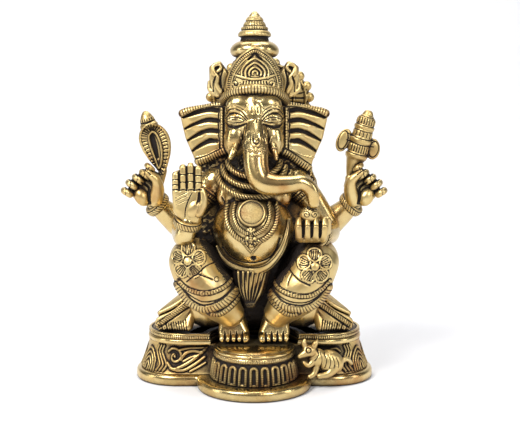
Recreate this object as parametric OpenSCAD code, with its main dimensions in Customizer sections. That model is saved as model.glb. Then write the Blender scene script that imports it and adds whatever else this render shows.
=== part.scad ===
// Seated elephant-headed deity, cast brass, assembled from separate castings on a hollow lobed base.
// Millimetres. +Z up, the figure faces -Y, origin at the bottom centre.
// "Right" is the deity's right, at -X.

/* [Base] */
// Half the width of the bottom slab
slab_half_w = 63; // [61:0.5:66]
// Corner radius of the bottom slab, also half its depth
slab_r = 23.5; // [22:0.5:25]
// Thickness of the bottom slab
slab_h = 5.7; // [4:0.1:7]
// Width of the slab's rim round the hollow underside
slab_rim = 8; // [6:0.5:10]
// Radius of the slab's front lobe
lobe_r = 29.3; // [28:0.1:31]
// Height of the flared pedestal wall
wall_h = 15.3; // [13:0.1:17]
// Thickness of the pedestal and drum walls
wall_t = 3; // [2.5:0.1:4]
// How far the seat plate's edge is inside the slab's
seat_inset = 6.5; // [5:0.1:8]
// Thickness of the seat plate
seat_h = 6; // [5:0.1:8]

/* [Footrest] */
// Radius of the drum at its foot
drum_r = 22; // [21:0.1:23]
// Height of the petal drum above the slab
drum_h = 11; // [10:0.1:12]
// Radius of the footrest plate's rim
foot_plate_r = 20.8; // [20:0.1:21.5]
// Thickness of the footrest plate's rim
foot_plate_h = 4.6; // [3:0.1:5]
// Rise of the footrest plate's cushion above its rim
cushion_h = 2.8; // [1:0.1:4]

/* [Body] */
// Half widths of the belly in X, Y and Z
belly_size = [20.5, 18.5, 19.5]; // [15:0.5:25]
// Radius of the knees
knee_r = 11.5; // [10.5:0.1:12.5]
// Radius of the smooth disc on the chest
disc_r = 6.6; // [5:0.1:8]
// Tube radius of the roll of cloth under the belly
roll_r = 2.4; // [1.8:0.1:3]
// Middle radius of the bangles
bangle_r = 5.6; // [5:0.1:6]

/* [Head and crown] */
// Half width of the head
head_half_w = 15; // [14:0.1:17]
// Radius of the trunk below the eyes
trunk_r = 6.2; // [5.5:0.1:7]
// Radius of the crown dome at the brow
crown_r = 15.4; // [15:0.1:16.5]
// Radius of the crown's collar ring
collar_r = 12.3; // [11:0.1:13]
// Height of the finial above the collar
finial_h = 15; // [13:0.1:17]
// Half width of the halo behind the crown
halo_half_w = 28.3; // [26:0.1:30]

/* [Hidden] */
$fn = 48;
brass = [0.79, 0.62, 0.27];
old_brass = [0.55, 0.42, 0.18];

lobe_gap = 21.3;                            // from the slab's centre line forward to the lobe's centre
slab_y = (lobe_r + lobe_gap - slab_r) / 2;  // centre line of the slab's long part
lobe_y = slab_y - lobe_gap;                 // centre of the front lobe, the drum and the footrest
seat_half_w = slab_half_w - seat_inset;
seat_r = slab_r - 2;
seat_z = slab_h + wall_h;
seat_top = seat_z + seat_h;
plate_z = slab_h + drum_h;
plate_top = plate_z + foot_plate_h;
wall_w = slab_half_w - 2.4;                 // half width of the wall at its foot
wall_r = slab_r - 2.4;

// The figure's points below are drawn for a seat at 27 mm, 1.75 mm further back
figure = [0, -1.75, seat_top - 27];

belly = [-0.3, -4, 80.5];
skull = [0.2, -2, 136];
crown_c = [0.3, 2];
crown_z = 145;
crown_top = 167;
collar_h = 8;
finial_z = crown_top + collar_h;
halo_c = [3, 15, 147];
halo_half_h = 21.5;

// Limbs as [x, y, z, radius], for the deity's right side where both sides match
leg_line = [[-15, 12, 42, 14.5], [-24, 0, 56, 13.5], [-31, -13, 66.5, knee_r],
            [-26.5, -16, 57, 12], [-20.6, -15.5, 50, 12], [-12.4, -11.5, 39.5, 7.6]];
thigh_line = [[-15, 12, 42, 14], [-25, 8, 39, 11.5]];
blessing_arm = [[-20, 5, 104, 8], [-28, 5, 94, 6.8], [-36, 3, 82, 6],
                [-34.5, -11, 78.5, 5.6], [-33, -18, 85.5, 4.8]];
sweet_arm = [[21, 5, 104, 8], [30, 5, 94, 6.8], [38, 3, 80, 6],
             [35, -10, 79, 5.4], [31.5, -17, 80, 4.8]];
leaf_arm = [[-20, 11, 105, 7.4], [-29, 13, 92, 7.2], [-36, 13, 81, 7.4],
            [-43, 10.5, 85.6, 6.9], [-50, 8, 92.5, 5.8]];
conch_arm = [for (p = leaf_arm) [-p[0], p[1], p[2], p[3]]];
trunk_line = [[0.5, -8.5, 142, trunk_r - 2], [0.7, -12.6, 134.5, trunk_r - 1],
              [0.9, -17.4, 127.5, trunk_r - 0.3], [0.9, -21.4, 120.5, trunk_r - 0.1],
              [1.4, -24, 113, trunk_r - 0.4], [4, -26, 107, trunk_r - 0.7],
              [9.5, -27, 105.2, trunk_r - 1], [17, -27.5, 105.6, trunk_r - 1.8],
              [23, -27.5, 106.2, trunk_r - 2.4], [27.6, -27, 102.6, trunk_r - 2.8],
              [28.8, -26, 96.5, trunk_r - 3.4]];

// The roll of cloth along the belly as [x, z, share of roll_r]
waist_line = [[-18.4, 73, 0.4], [-15.6, 67.4, 0.8], [-10.5, 63.4, 1], [-1.4, 61, 1.15],
              [7, 64, 1], [13, 71.5, 0.8], [16.4, 80, 0.55], [17.4, 87, 0.35]];

// Outline of the leaf emblem as [x, z]
leaf_edge = [[-46.6, 107.6], [-50, 111.6], [-53.2, 115.4], [-56.6, 120.4], [-58.6, 126.2], [-57.6, 131.2],
             [-53.8, 134.4], [-48.8, 133.8], [-44.9, 130.4], [-42.9, 125.4], [-42.8, 119.6], [-44.2, 113.6]];

// Outline of the crown's pointed front plate as [angle round the dome, z]
arch_edge = [[-66, 152], [-52, 159], [-36, 165], [-16, 168.6], [0, 170.6],
             [16, 168.6], [36, 165], [52, 159], [66, 152]];

// Radius of the ball whose cap is the footrest's cushion
cushion_r = (pow(foot_plate_r - 1, 2) + pow(cushion_h, 2)) / (2 * cushion_h);

// ---- helpers ----

module ball(p, fn) translate([p[0], p[1], p[2]]) sphere(r = p[3], $fn = fn);

// A limb: balls along a line, each hulled to the next
module limb(line, fn = 12) {
    for (i = [0 : len(line) - 2]) hull() {
        ball(line[i], fn);
        ball(line[i + 1], fn);
    }
}

// An egg-shaped mass with half widths r, turned by a
module egg(c, r, a = [0, 0, 0], fn = 16) translate(c) rotate(a) hull() scale(r) sphere(1, $fn = fn);

// A rounded plate: hull of balls at the points
module pad(points, fn = 10) hull() for (p = points) ball(p, fn);

// Draws its children for the deity's right side, or mirrored for the left
module on_side(side) mirror([side > 0 ? 1 : 0, 0, 0]) children();

module seated() translate(figure) children();

// Everything below a height, in the figure's own heights
module below(z) translate([0, 0, z - 80]) linear_extrude(80) square(300, center = true);

// The straight-sided outline with two round ends
module stadium(half_w, r) translate([0, slab_y]) union() {
    for (s = [-1, 1]) translate([s * (half_w - r), 0]) circle(r);
    square([2 * (half_w - r), 2 * r], center = true);
}

// The same outline at two heights, with a straight flare between
module flared_stadium(w0, r0, w1, r1, z0, h) hull()
    for (s = [-1, 1]) {
        translate([s * (w0 - r0), slab_y, z0]) cylinder(r = r0, h = 0.01, $fn = 32);
        translate([s * (w1 - r1), slab_y, z0 + h - 0.01]) cylinder(r = r1, h = 0.01, $fn = 32);
    }

// Y of the belly's front over a point of the XZ plane
function belly_y(x, z, lift = 0) =
    let (u = (x - belly[0]) / (belly_size[0] + lift), w = (z - belly[2]) / (belly_size[2] + lift))
    belly[1] - (belly_size[1] + lift) * sqrt(max(0.02, 1 - u * u - w * w));

// A line of balls on the belly, along an arc of an upright ellipse
function belly_arc(cx, cz, rx, rz, a0, a1, n, r, lift) =
    [for (i = [0 : n]) let (a = a0 + (a1 - a0) * i / n, x = cx + rx * cos(a), z = cz + rz * sin(a))
        [x, belly_y(x, z, lift), z, r]];

// ---- base ----

module slab_outline(inset) {
    stadium(slab_half_w - inset, slab_r - inset);
    translate([0, lobe_y]) circle(lobe_r - inset);
}

module base_slab() color(brass) linear_extrude(slab_h) difference() {
    slab_outline(0);
    slab_outline(slab_rim);
}

module drum_space(h = 60) translate([0, lobe_y, 0]) cylinder(r = drum_r + 0.1, h = h);

module pedestal_wall() color(old_brass) difference() {
    flared_stadium(wall_w, wall_r, seat_half_w - 0.6, seat_r - 0.6, slab_h, wall_h);
    translate([0, 0, -0.01])
        flared_stadium(wall_w - wall_t, wall_r - wall_t,
                       seat_half_w - 0.6 - wall_t, seat_r - 0.6 - wall_t, slab_h, wall_h + 0.02);
    drum_space();
}

module seat_plate() color(brass) difference() {
    translate([0, 0, seat_z]) linear_extrude(seat_h) stadium(seat_half_w, seat_r);
    drum_space();
}

module drum_cone(inset) translate([0, lobe_y, slab_h])
    cylinder(r1 = drum_r - inset, r2 = foot_plate_r - 0.8 - inset, h = drum_h);

module footrest_drum() color(old_brass) difference() {
    drum_cone(0);
    translate([0, 0, -0.01]) drum_cone(wall_t);
    translate([0, lobe_y, plate_z - 1]) cylinder(r = foot_plate_r - 0.8 - wall_t, h = 2);
}

// Rim, then a low cushion
module footrest_plate() color(brass) translate([0, lobe_y, plate_z]) union() {
    cylinder(r = foot_plate_r, h = foot_plate_h);
    intersection() {
        cylinder(r = foot_plate_r - 1, h = 20);
        translate([0, 0, foot_plate_h + cushion_h - cushion_r]) sphere(cushion_r);
    }
}

// The mouse stands at the front of the pedestal on the deity's left, looking up
module mouse() color(brass) difference() {
    union() {
        egg([37, -11, 14.5], [7.2, 4.5, 5.6], [0, 25, 0], 10);
        egg([30.6, -12.5, 16.6], [4.2, 3.4, 4], [0, 30, 0], 8);
        egg([26.8, -13.5, 20.4], [3.6, 2.5, 2.5], [0, 25, 0], 8);
        for (k = [0, 1]) egg([26.6 + 4 * k, -12.6, 23.4], [1, 0.9, 1.9], [0, 24 * k - 8, 0], 6);
        limb([[30, -14, 14.6, 1.8], [27.4, -15, 12.6, 1.3], [25, -15.4, 13.6, 0.9]], 6);
        limb([[40, -12.5, 12, 3], [37.4, -14.4, 8.4, 1.7], [33.5, -15, 8, 1.3]], 6);
        limb([[43, -9.4, 12, 1.3], [47.4, -7, 14, 1.1], [50, -5, 11, 1]], 6);
    }
    flared_stadium(wall_w, wall_r, seat_half_w - 0.6, seat_r - 0.6, slab_h, wall_h);
    below(slab_h);
    translate([0, 0, seat_z]) linear_extrude(seat_h) stadium(seat_half_w, seat_r);
    drum_space();
}

// ---- torso and cloth ----

module torso_form() {
    egg(belly, belly_size, [0, 0, 0], 20);
    egg([0, 3, 100], [20, 12, 15], [0, 0, 0], 16);
    pad([[-11, 9, 40, 13], [11, 9, 40, 13], [-8, 8, 70, 13], [8, 8, 70, 13]], 12);
    egg([0, 12, 46], [25, 14, 20], [0, 0, 0], 14);
    limb([[-18, 6, 104, 8], [0, 5, 106, 11], [18, 6, 104, 8]], 12);
    limb([[0, 5, 100, 12], [0, 4, 112, 10], [0, 3, 118, 9]], 12);
    // Cloth between the waist and the arms, and behind the knees
    pad([[-31, 6, 74, 5], [31, 6, 74, 5], [-33, 9, 92, 3.5], [33, 9, 92, 3.5],
         [-27, 8, 113, 2.6], [27, 8, 113, 2.6]]);
    pad([[-27, 4, 52, 6], [27, 4, 52, 6], [-29, 4, 72, 5], [29, 4, 72, 5]]);
}

// The torso is cast hollow: a core runs up from its open underside
module torso_core() pad([[-7, 10, 30, 8], [7, 10, 30, 8], [-5, 8, 72, 7], [5, 8, 72, 7]], 10);

module torso() color(brass) seated() difference() {
    torso_form();
    torso_core();
    below(27);
    drum_space();
}

module waist_form()
    limb([for (p = waist_line) [p[0], belly_y(p[0], p[1], 1), p[1], roll_r * p[2]]], 8);

module waist_roll() color(brass) seated() difference() {
    waist_form();
    torso_form();
    legs_form();
}

module disc_form() translate([-1, belly_y(-1, 91, 1.4), 91]) rotate([66, 0, 0])
    translate([0, 0, -4]) cylinder(r = disc_r, h = 5, $fn = 24);

module chest_disc() color(brass) seated() difference() {
    disc_form();
    egg(belly, belly_size, [0, 0, 0], 20);
    egg([0, 3, 100], [20, 12, 15], [0, 0, 0], 16);
}

module chain_form() {
    limb(belly_arc(-1, 91, 9.4, 10.5, 160, 380, 10, 1.2, 0.4), 6);
    limb(belly_arc(-1, 90, 12.8, 13.6, 165, 375, 10, 1.2, 0.3), 6);
    egg([-1.2, belly_y(-1.2, 77, 0.6), 77], [4, 1.8, 4.4], [0, 0, 0], 10);
    egg([-1.2, belly_y(-1.2, 71.5, 0.6), 71.5], [1.8, 1.4, 2.6], [0, 0, 0], 8);
}

module pendant_chain() color(brass) seated() difference() {
    chain_form();
    torso_form();
    disc_form();
}

// Rope collars from shoulder to shoulder round the front of the neck
module neck_ropes_form() for (k = [0 : 2])
    limb([for (i = [0 : 8]) let (a = 180 + 22.5 * i, r = 13 + 2.6 * k)
        [r * cos(a), -3 + (8 + 2.4 * k) * sin(a), 115 - 2.6 * k + (7 + 2.4 * k) * sin(a), 1.6]], 6);

module neck_ropes() color(old_brass) seated() difference() {
    neck_ropes_form();
    torso_form();
    head_form();
    trunk_form();
}

module dhoti_form() {
    pad([[-8, -8, 60, 3], [5.6, -8, 60, 3], [-7, -9, 52, 2.6], [4, -9, 52, 2.6],
         [-4, -8, 43, 2], [-1, -8, 43, 2]], 8);
    for (i = [0 : 5])
        limb([[-8 + 2.6 * i, -12.4, 60, 1.4], [-6.6 + 2 * i, -12.8, 52, 1.3],
              [-3.8 + 0.6 * i, -11, 43, 1]], 6);
}

module dhoti_front() color(old_brass) seated() difference() {
    dhoti_form();
    torso_form();
    waist_form();
    legs_form();
    feet_form();
}

// A fan of cloth from the hip down to the edge of the seat
module sash_form() {
    pad([[-30, 8, 46, 3], [-34, 14, 45, 3], [-48, 2, 29.4, 2.4], [-48, 17, 29.4, 2.4],
         [-33, 0, 29.6, 2.4]], 8);
    for (i = [0 : 5])
        limb([[-32 - 0.3 * i, 5 + 1.5 * i, 46.6, 1.2], [-48.8, 0.6 + 2.4 * i, 30.2, 1.4]], 6);
}

module sash_tail(side) color(old_brass) seated() difference() {
    on_side(side) sash_form();
    torso_form();
    legs_form();
    below(27);
}

// ---- legs and feet ----

module leg_form(side) on_side(side) {
    limb(leg_line, 14);
    limb(thigh_line, 12);
}

module legs_form() for (s = [-1, 1]) leg_form(s);

// Two raised hems of the leg cloth above the ankle
module hems_form(side) on_side(side) for (h = [[-24.6, -15.8, 54.4, 13.4], [-20.6, -15.2, 47.6, 12.9]])
    translate([h[0], h[1], h[2]]) rotate([4, 34, 0]) cylinder(r = h[3], h = 3, center = true, $fn = 16);

module leg(side) color(brass) seated() difference() {
    union() {
        leg_form(side);
        hems_form(side);
    }
    torso_form();
    feet_form();
    below(27);
    translate([0, 0, -seat_top]) drum_space(plate_top + 30);
}

module foot_form(side) on_side(side) {
    pad([[-11.4, -4, 38, 6], [-5, -9.4, 29, 2.9], [-15.6, -8.6, 28.6, 2.9], [-10.4, 2, 30, 5]], 10);
    for (i = [0 : 4]) let (x = -4 - 3.1 * i, r = i == 0 ? 2.1 : 1.7)
        limb([[x, -9, 27.6, r + 0.4], [x, -14 + 0.5 * i, 25.6 - 0.2 * i, r]], 6);
    translate([-11, -5, 38.5]) rotate([-24, 28, 0]) cylinder(r = 8, h = 3, center = true, $fn = 16);
}

module feet_form() for (s = [-1, 1]) foot_form(s);

module foot(side) color(brass) difference() {
    seated() foot_form(side);
    below(plate_top);
    footrest_plate();
    seat_plate();
    seated() torso_form();
}

// ---- arms and hands ----

module arm(line) color(brass) seated() difference() {
    limb(line, 12);
    torso_form();
    legs_form();
    bangle_form(line);
    children();
}

// A cuff round the wrist at the end of an arm
module bangle_form(line)
    let (n = len(line), a = line[n - 2], b = line[n - 1], d = [b[0] - a[0], b[1] - a[1], b[2] - a[2]])
    translate([b[0], b[1], b[2]]) rotate([0, acos(d[2] / norm(d)), atan2(d[1], d[0])])
    rotate_extrude($fn = 24) translate([bangle_r, 0]) scale([1, 1.3]) circle(1.5, $fn = 8);

module bangle(line) color(brass) seated() bangle_form(line);

module blessing_hand_form() {
    pad([[-38, -20, 101, 3], [-28, -20, 101, 3], [-36, -19.5, 91, 3.8], [-30.5, -19.5, 91, 4.2]]);
    for (f = [[-38, 110.4], [-34.7, 113.2], [-31.2, 113.6], [-27.8, 111]])
        limb([[f[0], -20, 101, 2], [f[0], -20.8, f[1], 1.8]], 8);
    limb([[-29, -21.5, 92, 2.8], [-25.6, -22.6, 96.6, 2.1], [-26, -22.4, 101, 1.7]], 8);
}

module sweet_hand_form() {
    pad([[23.5, -20, 83, 3.6], [33, -20, 83, 3.8], [25, -22, 79.5, 3], [31, -22, 79.5, 3]]);
    for (i = [0 : 3]) let (x = 21.8 + 3.9 * i)
        limb([[x, -24, 80.2, 2.4], [x + 0.2, -26, 83.4, 2.1], [x + 0.4, -24.6, 86.6, 1.9]], 6);
    limb([[35, -20, 82, 2.6], [35.6, -22.5, 88, 2]], 6);
}

// A fist round an emblem's stem, drawn for the deity's right hand
module fist_form() {
    pad([[-57.2, 4.4, 96.6, 4], [-52, 4, 95.4, 4.2], [-62.6, 5, 100.6, 2.4],
         [-60.6, 5, 104.6, 2.2], [-54.6, 5, 109.4, 2.2], [-49.4, 5, 106, 2.8]]);
    egg([-57.2, 1.4, 96.8], [3.8, 3.6, 5], [0, -30, 0], 10);
    for (k = [[-65.2, 99.6, 2.2], [-62.8, 103.6, 2.1], [-59.4, 106.4, 2.1], [-55.8, 108.8, 2.1]])
        limb([[k[0] - 1.3, 3.2, k[1] + 0.5, k[2] - 0.3], [k[0] - 0.6, 0.4, k[1] + 0.4, k[2] - 0.2],
              [k[0] + 0.8, -1, k[1] - 0.4, k[2] - 0.25]], 6);
    limb([[-50.4, 1.6, 95, 3.6], [-48.9, 0, 100.4, 3.4], [-49.4, -1.8, 105.4, 2.5],
          [-52.4, -2.6, 108.4, 1.8]], 6);
}

// A curved leaf standing on a stem, with a pointed knob on top
module leaf_form() {
    translate([0, 5, 0]) rotate([90, 0, 0]) linear_extrude(3.6, center = true) polygon(leaf_edge);
    translate([-53.6, 5, 132.8]) rotate([0, -16, 0]) {
        cylinder(r1 = 4.8, r2 = 3.6, h = 2.6, $fn = 16);
        translate([0, 0, 2.6]) cylinder(r1 = 3.2, r2 = 0.7, h = 5.4, $fn = 16);
    }
    limb([[-45.4, 5, 111.6, 2], [-48, 5, 101, 1.9]], 8);
}

// Stem, bulbous body with two ribs, pointed cap and a fin each side
module conch_form() translate([47.6, 5, 101.2]) rotate([0, 15.5, 0]) {
    rotate_extrude($fn = 32) polygon([[0, 0], [1.9, 0], [2, 6], [3, 9], [4.6, 15], [5.8, 17.4], [5, 19],
        [5.6, 22], [5.2, 23.5], [5.9, 25.4], [5, 27], [5.1, 30.3], [4.8, 30.8], [5.3, 32.4], [4.9, 36],
        [4, 37.6], [2.7, 39], [0.8, 41], [0, 41]]);
    egg([-8.4, 0, 23], [3.6, 1.5, 6.2], [0, 8, 0], 10);
    egg([7.2, 0, 22.6], [3.8, 1.5, 5.4], [0, -12, 0], 10);
}

module emblem_hand(side, line) color(brass) seated() difference() {
    on_side(side) fist_form();
    limb(line, 12);
    bangle_form(line);
    children();
}

module hand(line) color(brass) seated() difference() {
    children(0);
    limb(line, 12);
    bangle_form(line);
    legs_form();
    sweet_form();
}

module sweet_form() {
    egg([27.2, -22.5, 90.4], [5, 4.4, 3.8], [0, 0, 0], 16);
    translate([27.2, -22.5, 92.4]) cylinder(r1 = 3.8, r2 = 0.8, h = 4, $fn = 16);
}

module sweet() color(brass) seated() difference() {
    sweet_form();
    trunk_form();
    legs_form();
}

// ---- head ----

module head_form() {
    egg(skull, [head_half_w, 15, 16], [0, 0, 0], 20);
    for (s = [-1, 1]) {
        egg([s * 8.6, -8.5, 127], [6.3, 7, 9.5], [0, s * -8, 0], 14);
        egg([s * 5.6, -10.4, 143], [8.2, 5, 6], [0, 0, 0], 14);
        egg([s * 9.4, -13, 136.8], [4.4, 2.4, 2.8], [0, s * 8, 0], 12);
    }
    egg([0.3, -11, 137], [7, 6.6, 11], [0, 0, 0], 14);
}

module trunk_form() limb(trunk_line, 14);

module head() color(brass) seated() difference() {
    head_form();
    trunk_form();
    torso_form();
    crown_shell();
}

module trunk() color(brass) seated() trunk_form();

module tusk_form(side) limb(side < 0
    ? [[-7.6, -14, 124, 1.9], [-9.4, -17.4, 120.6, 1.6], [-11, -19, 117.4, 1.3]]
    : [[8.6, -14, 124, 1.9], [10, -17.6, 119.4, 1.5], [11, -19.6, 114.6, 1]], 8);

module tusk(side) color(brass) seated() difference() {
    tusk_form(side);
    head_form();
    trunk_form();
}

// A fan-shaped ear with raised folds, drawn for the deity's right side
module ear_form(lobe = false) {
    pad([[-14, 2, 143, 2.2], [-36, 5, 139.4, 2], [-35, 6, 134, 2], [-13.5, 1, 121, 2.2]], 8);
    pad([[-13.5, 1, 121, 2.2], [-35, 6, 134, 2], [-33.4, 6, 127, 2], [-28, 4.4, 114.6, 2]], 8);
    if (lobe) pad([[-15, 2, 120, 2], [-28, 4.4, 114.6, 2], [-27.6, 5, 110.6, 1.8]], 8);
    for (i = [0 : 4]) let (z0 = 142.5 - 5.2 * i, x1 = -36 + 0.9 * i + (i > 3 ? 2 : 0))
        limb([[-15, -0.6, z0 - 1, 1.7], [(x1 - 15) / 2, 1.4, z0, 1.8],
              [x1, 4.2, z0 - 3.4 - 0.9 * i, 1.5]], 6);
}

// The deity's left ear ends in a lower lobe
module ears_form() for (s = [-1, 1]) on_side(s) ear_form(s > 0);

module ear(side) color(brass) seated() difference() {
    on_side(side) ear_form(side > 0);
    head_form();
    crown_shell();
    torso_form();
}

// Hair at the back of the head and neck
module mane_form() {
    egg([0, 11, 128], [15, 8, 17], [0, 0, 0], 12);
    for (i = [-2 : 2])
        limb([[i * 5.6, 12, 140, 4], [i * 6, 16, 127, 4.2], [i * 4.6, 15, 111, 4], [i * 3.6, 14, 102, 3]], 6);
}

module mane() color(old_brass) seated() difference() {
    mane_form();
    head_form();
    torso_form();
    halo_form();
    crown_shell();
    ears_form();
}

// ---- crown ----

// The crown's outer shape: a dome of revolution, widest just above the brow
module crown_shell() translate([crown_c[0], crown_c[1], 0]) rotate_extrude($fn = 32)
    polygon([[0, crown_z], [crown_r - 0.6, crown_z], [crown_r, 149], [crown_r - 0.6, 155],
             [crown_r - 2.6, 160], [crown_r - 4.6, 164], [crown_r - 6.2, crown_top], [0, crown_top]]);

module crown_dome() color(old_brass) seated() crown_shell();

module band_form() limb([for (i = [0 : 10]) let (a = 180 + 18 * i)
    [crown_c[0] + crown_r * cos(a), crown_c[1] + crown_r * sin(a) - 0.6, 145.6 - 4.9 * sin(a), 2.3]], 8);

module crown_band() color(brass) seated() difference() {
    band_form();
    crown_shell();
    head_form();
    ears_form();
}

// The pointed front plate, bent to the dome
module arch_ball(angle, r, z)
    ball([crown_c[0] + r * sin(angle), crown_c[1] - r * cos(angle) - 0.8, z, 1.4], 6);

module arch_form() hull() for (p = arch_edge) {
    arch_ball(p[0], crown_r - 0.2 - (p[1] - 152) * 0.19, p[1]);
    arch_ball(p[0], crown_r - 0.2, 150.6);
}

// Two nested ovals over a row of beads
module arch_boss_form() {
    for (k = [0, 1])
        egg([crown_c[0], -14.4 - 0.5 * k, 159.5 - 0.4 * k], [6 - 2 * k, 1.6, 6.6 - 2.4 * k], [-14, 0, 0], 10);
    for (i = [0 : 5])
        egg([crown_c[0] - 9 + 3.6 * i, -14.8 + 0.2 * pow(i - 2.5, 2), 154], [1.5, 1.3, 1.5], [0, 0, 0], 6);
}

module crown_arch() color(brass) seated() difference() {
    union() {
        arch_form();
        arch_boss_form();
    }
    crown_shell();
    band_form();
    collar_form();
}

module scroll_form() {
    pad([[-15.4, -1.6, 149.4, 2.4], [-19, -1.6, 149.4, 1.8], [-20.4, -1.6, 156, 1.9],
         [-20.6, -1.8, 161.4, 1.8], [-17.4, -1.8, 163.4, 1.6], [-14.2, -1.6, 158, 2.2]], 8);
    limb([[-16.4, -3.4, 150, 1.3], [-18.4, -3.8, 153.4, 1.3], [-18, -4, 156.6, 1.2],
          [-20, -3.8, 159.4, 1.3], [-20.2, -3.4, 162.2, 1.2], [-17.8, -3.4, 163.4, 1.1]], 6);
    limb([[-18, -2, 148.6, 1.7], [-22, -1, 151, 1.3], [-22.2, -0.6, 154.6, 1.1]], 6);
}

module crown_scroll(side) color(brass) seated() difference() {
    on_side(side) scroll_form();
    crown_shell();
    arch_form();
    band_form();
    ears_form();
}

module collar_form() translate([crown_c[0], crown_c[1], crown_top]) rotate_extrude()
    polygon([[0, 0], [collar_r - 3.6, 0], [collar_r - 1, 1], [collar_r, 3], [collar_r - 0.5, 5],
             [collar_r - 2.2, 6.8], [collar_r - 4.6, collar_h], [0, collar_h]]);

module crown_collar() color(brass) seated() difference() {
    collar_form();
    translate([crown_c[0], crown_c[1], finial_z - 4]) cylinder(r = 2.5, h = 5);
}

// Turned finial with a peg that sits in the collar
module crown_finial() color(brass) seated() translate([crown_c[0], crown_c[1], finial_z]) rotate_extrude()
    polygon([[0, -4], [2.5, -4], [2.5, 0], [6.8, 0], [6.9, 1.8], [8.2, 2.5], [8.3, 3.3], [7.1, 5],
             [6.5, 5.3], [6.8, 6.4], [5.7, 7.2], [5.3, 8.8], [4.3, 9.7], [4.5, 10.3], [3.2, 12],
             [2.8, 12.3], [1.6, finial_h - 1], [0.7, finial_h - 0.2], [0, finial_h]]);

// The scalloped plate behind the crown
module halo_form() {
    hull() for (i = [0 : 11]) ball_on_halo(30 * i, 4, 1.4);
    for (i = [0 : 14]) let (a = -34 + 17.7 * i)
        hull() translate([halo_c[0] + (halo_half_w - 2.8) * cos(a), halo_c[1],
                          halo_c[2] + (halo_half_h - 2.8) * sin(a)])
        rotate([90, 0, 0]) cylinder(r = 2.8, h = 3.8, center = true, $fn = 7);
}

module ball_on_halo(a, inset, r)
    translate([halo_c[0] + (halo_half_w - inset) * cos(a), halo_c[1],
               halo_c[2] + (halo_half_h - inset) * sin(a)])
    sphere(r, $fn = 6);

module halo() color(old_brass) seated() difference() {
    halo_form();
    crown_shell();
    collar_form();
    head_form();
    ears_form();
}

// ---- nodes ----

base_slab();
pedestal_wall();
seat_plate();
footrest_drum();
footrest_plate();
mouse();
torso();
waist_roll();
chest_disc();
pendant_chain();
neck_ropes();
dhoti_front();
sash_tail(-1);  // sash_tail_right
sash_tail(1);  // sash_tail_left
leg(-1);  // leg_right
leg(1);  // leg_left
foot(-1);  // foot_right
foot(1);  // foot_left
arm(blessing_arm);
arm(sweet_arm);
arm(leaf_arm) limb(blessing_arm, 12);
arm(conch_arm) limb(sweet_arm, 12);
hand(blessing_arm) blessing_hand_form();  // blessing_hand
hand(sweet_arm) sweet_hand_form();  // sweet_hand
emblem_hand(-1, leaf_arm) leaf_form();  // leaf_hand
emblem_hand(1, conch_arm) conch_form();  // conch_hand
bangle(blessing_arm);  // blessing_bangle
bangle(sweet_arm);  // sweet_bangle
bangle(leaf_arm);  // leaf_bangle
bangle(conch_arm);  // conch_bangle
sweet();
color(old_brass) seated() leaf_form();  // leaf_emblem
color(old_brass) seated() conch_form();  // conch_emblem
head();
trunk();
tusk(-1);  // tusk_right
tusk(1);  // tusk_left
ear(-1);  // ear_right
ear(1);  // ear_left
mane();
halo();
crown_dome();
crown_band();
crown_arch();
crown_scroll(-1);  // crown_scroll_right
crown_scroll(1);  // crown_scroll_left
crown_collar();
crown_finial();
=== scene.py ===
"""Seated elephant-headed deity in cast brass: the looks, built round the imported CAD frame.

Lengths are millimetres inside the classes and metres in Blender. The figure faces -Y, and its own
right hand is at -X. Figure points are drawn for a seat 27 mm high and are placed by the Datum.
"""

import logging
import math
from dataclasses import dataclass, field
from enum import Enum
from typing import Optional, Sequence

import bpy
import numpy as np
from mathutils import Matrix, Vector

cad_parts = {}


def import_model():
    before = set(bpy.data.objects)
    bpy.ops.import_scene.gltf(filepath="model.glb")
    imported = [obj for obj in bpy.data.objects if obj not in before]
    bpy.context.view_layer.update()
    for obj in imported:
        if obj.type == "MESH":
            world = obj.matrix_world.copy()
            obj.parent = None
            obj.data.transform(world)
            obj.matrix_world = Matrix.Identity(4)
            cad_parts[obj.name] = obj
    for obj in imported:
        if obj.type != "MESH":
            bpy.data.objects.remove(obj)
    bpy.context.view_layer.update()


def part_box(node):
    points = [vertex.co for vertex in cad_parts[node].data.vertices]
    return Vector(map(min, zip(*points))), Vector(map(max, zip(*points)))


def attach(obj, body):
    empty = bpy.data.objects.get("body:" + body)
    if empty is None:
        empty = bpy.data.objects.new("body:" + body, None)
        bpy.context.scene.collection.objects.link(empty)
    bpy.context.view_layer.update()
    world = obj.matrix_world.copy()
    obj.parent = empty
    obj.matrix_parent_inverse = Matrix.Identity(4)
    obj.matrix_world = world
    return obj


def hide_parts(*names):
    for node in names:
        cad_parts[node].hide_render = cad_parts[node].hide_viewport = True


MM = 0.001
TAU = 2.0 * math.pi
LOG = logging.getLogger("deity")

Point = Sequence[float]
Line = np.ndarray


# ---------------------------------------------------------------- placing


@dataclass(frozen=True)
class Datum:
    """Where the figure stands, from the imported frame's own boxes."""

    x: float
    y: float
    z: float

    @classmethod
    def from_frame(cls) -> "Datum":
        """Reads the footrest plate and the seat plate.

        Returns:
            The offset in mm that takes figure points to the frame.
        """
        low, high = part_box("footrest_plate")
        seat_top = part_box("seat_plate")[1][2] / MM
        return cls((low[0] + high[0]) / 2 / MM, (low[1] + high[1]) / 2 / MM + 6.0, seat_top - 27.0)

    def offset(self) -> np.ndarray:
        """The offset as an array, in mm."""
        return np.array([self.x, self.y, self.z])


class Space(Enum):
    """The frame that a piece's points are given in."""

    FIGURE = "figure"
    BASE = "base"


# ---------------------------------------------------------------- mesh tools


def deselect() -> None:
    """Leaves nothing selected, because operators act on all that is."""
    for item in bpy.context.selected_objects:
        item.select_set(False)


def take(item: bpy.types.Object) -> None:
    """Makes one object the only selected one, and active.

    Args:
        item: the object to work on.
    """
    deselect()
    item.select_set(True)
    bpy.context.view_layer.objects.active = item


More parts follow.
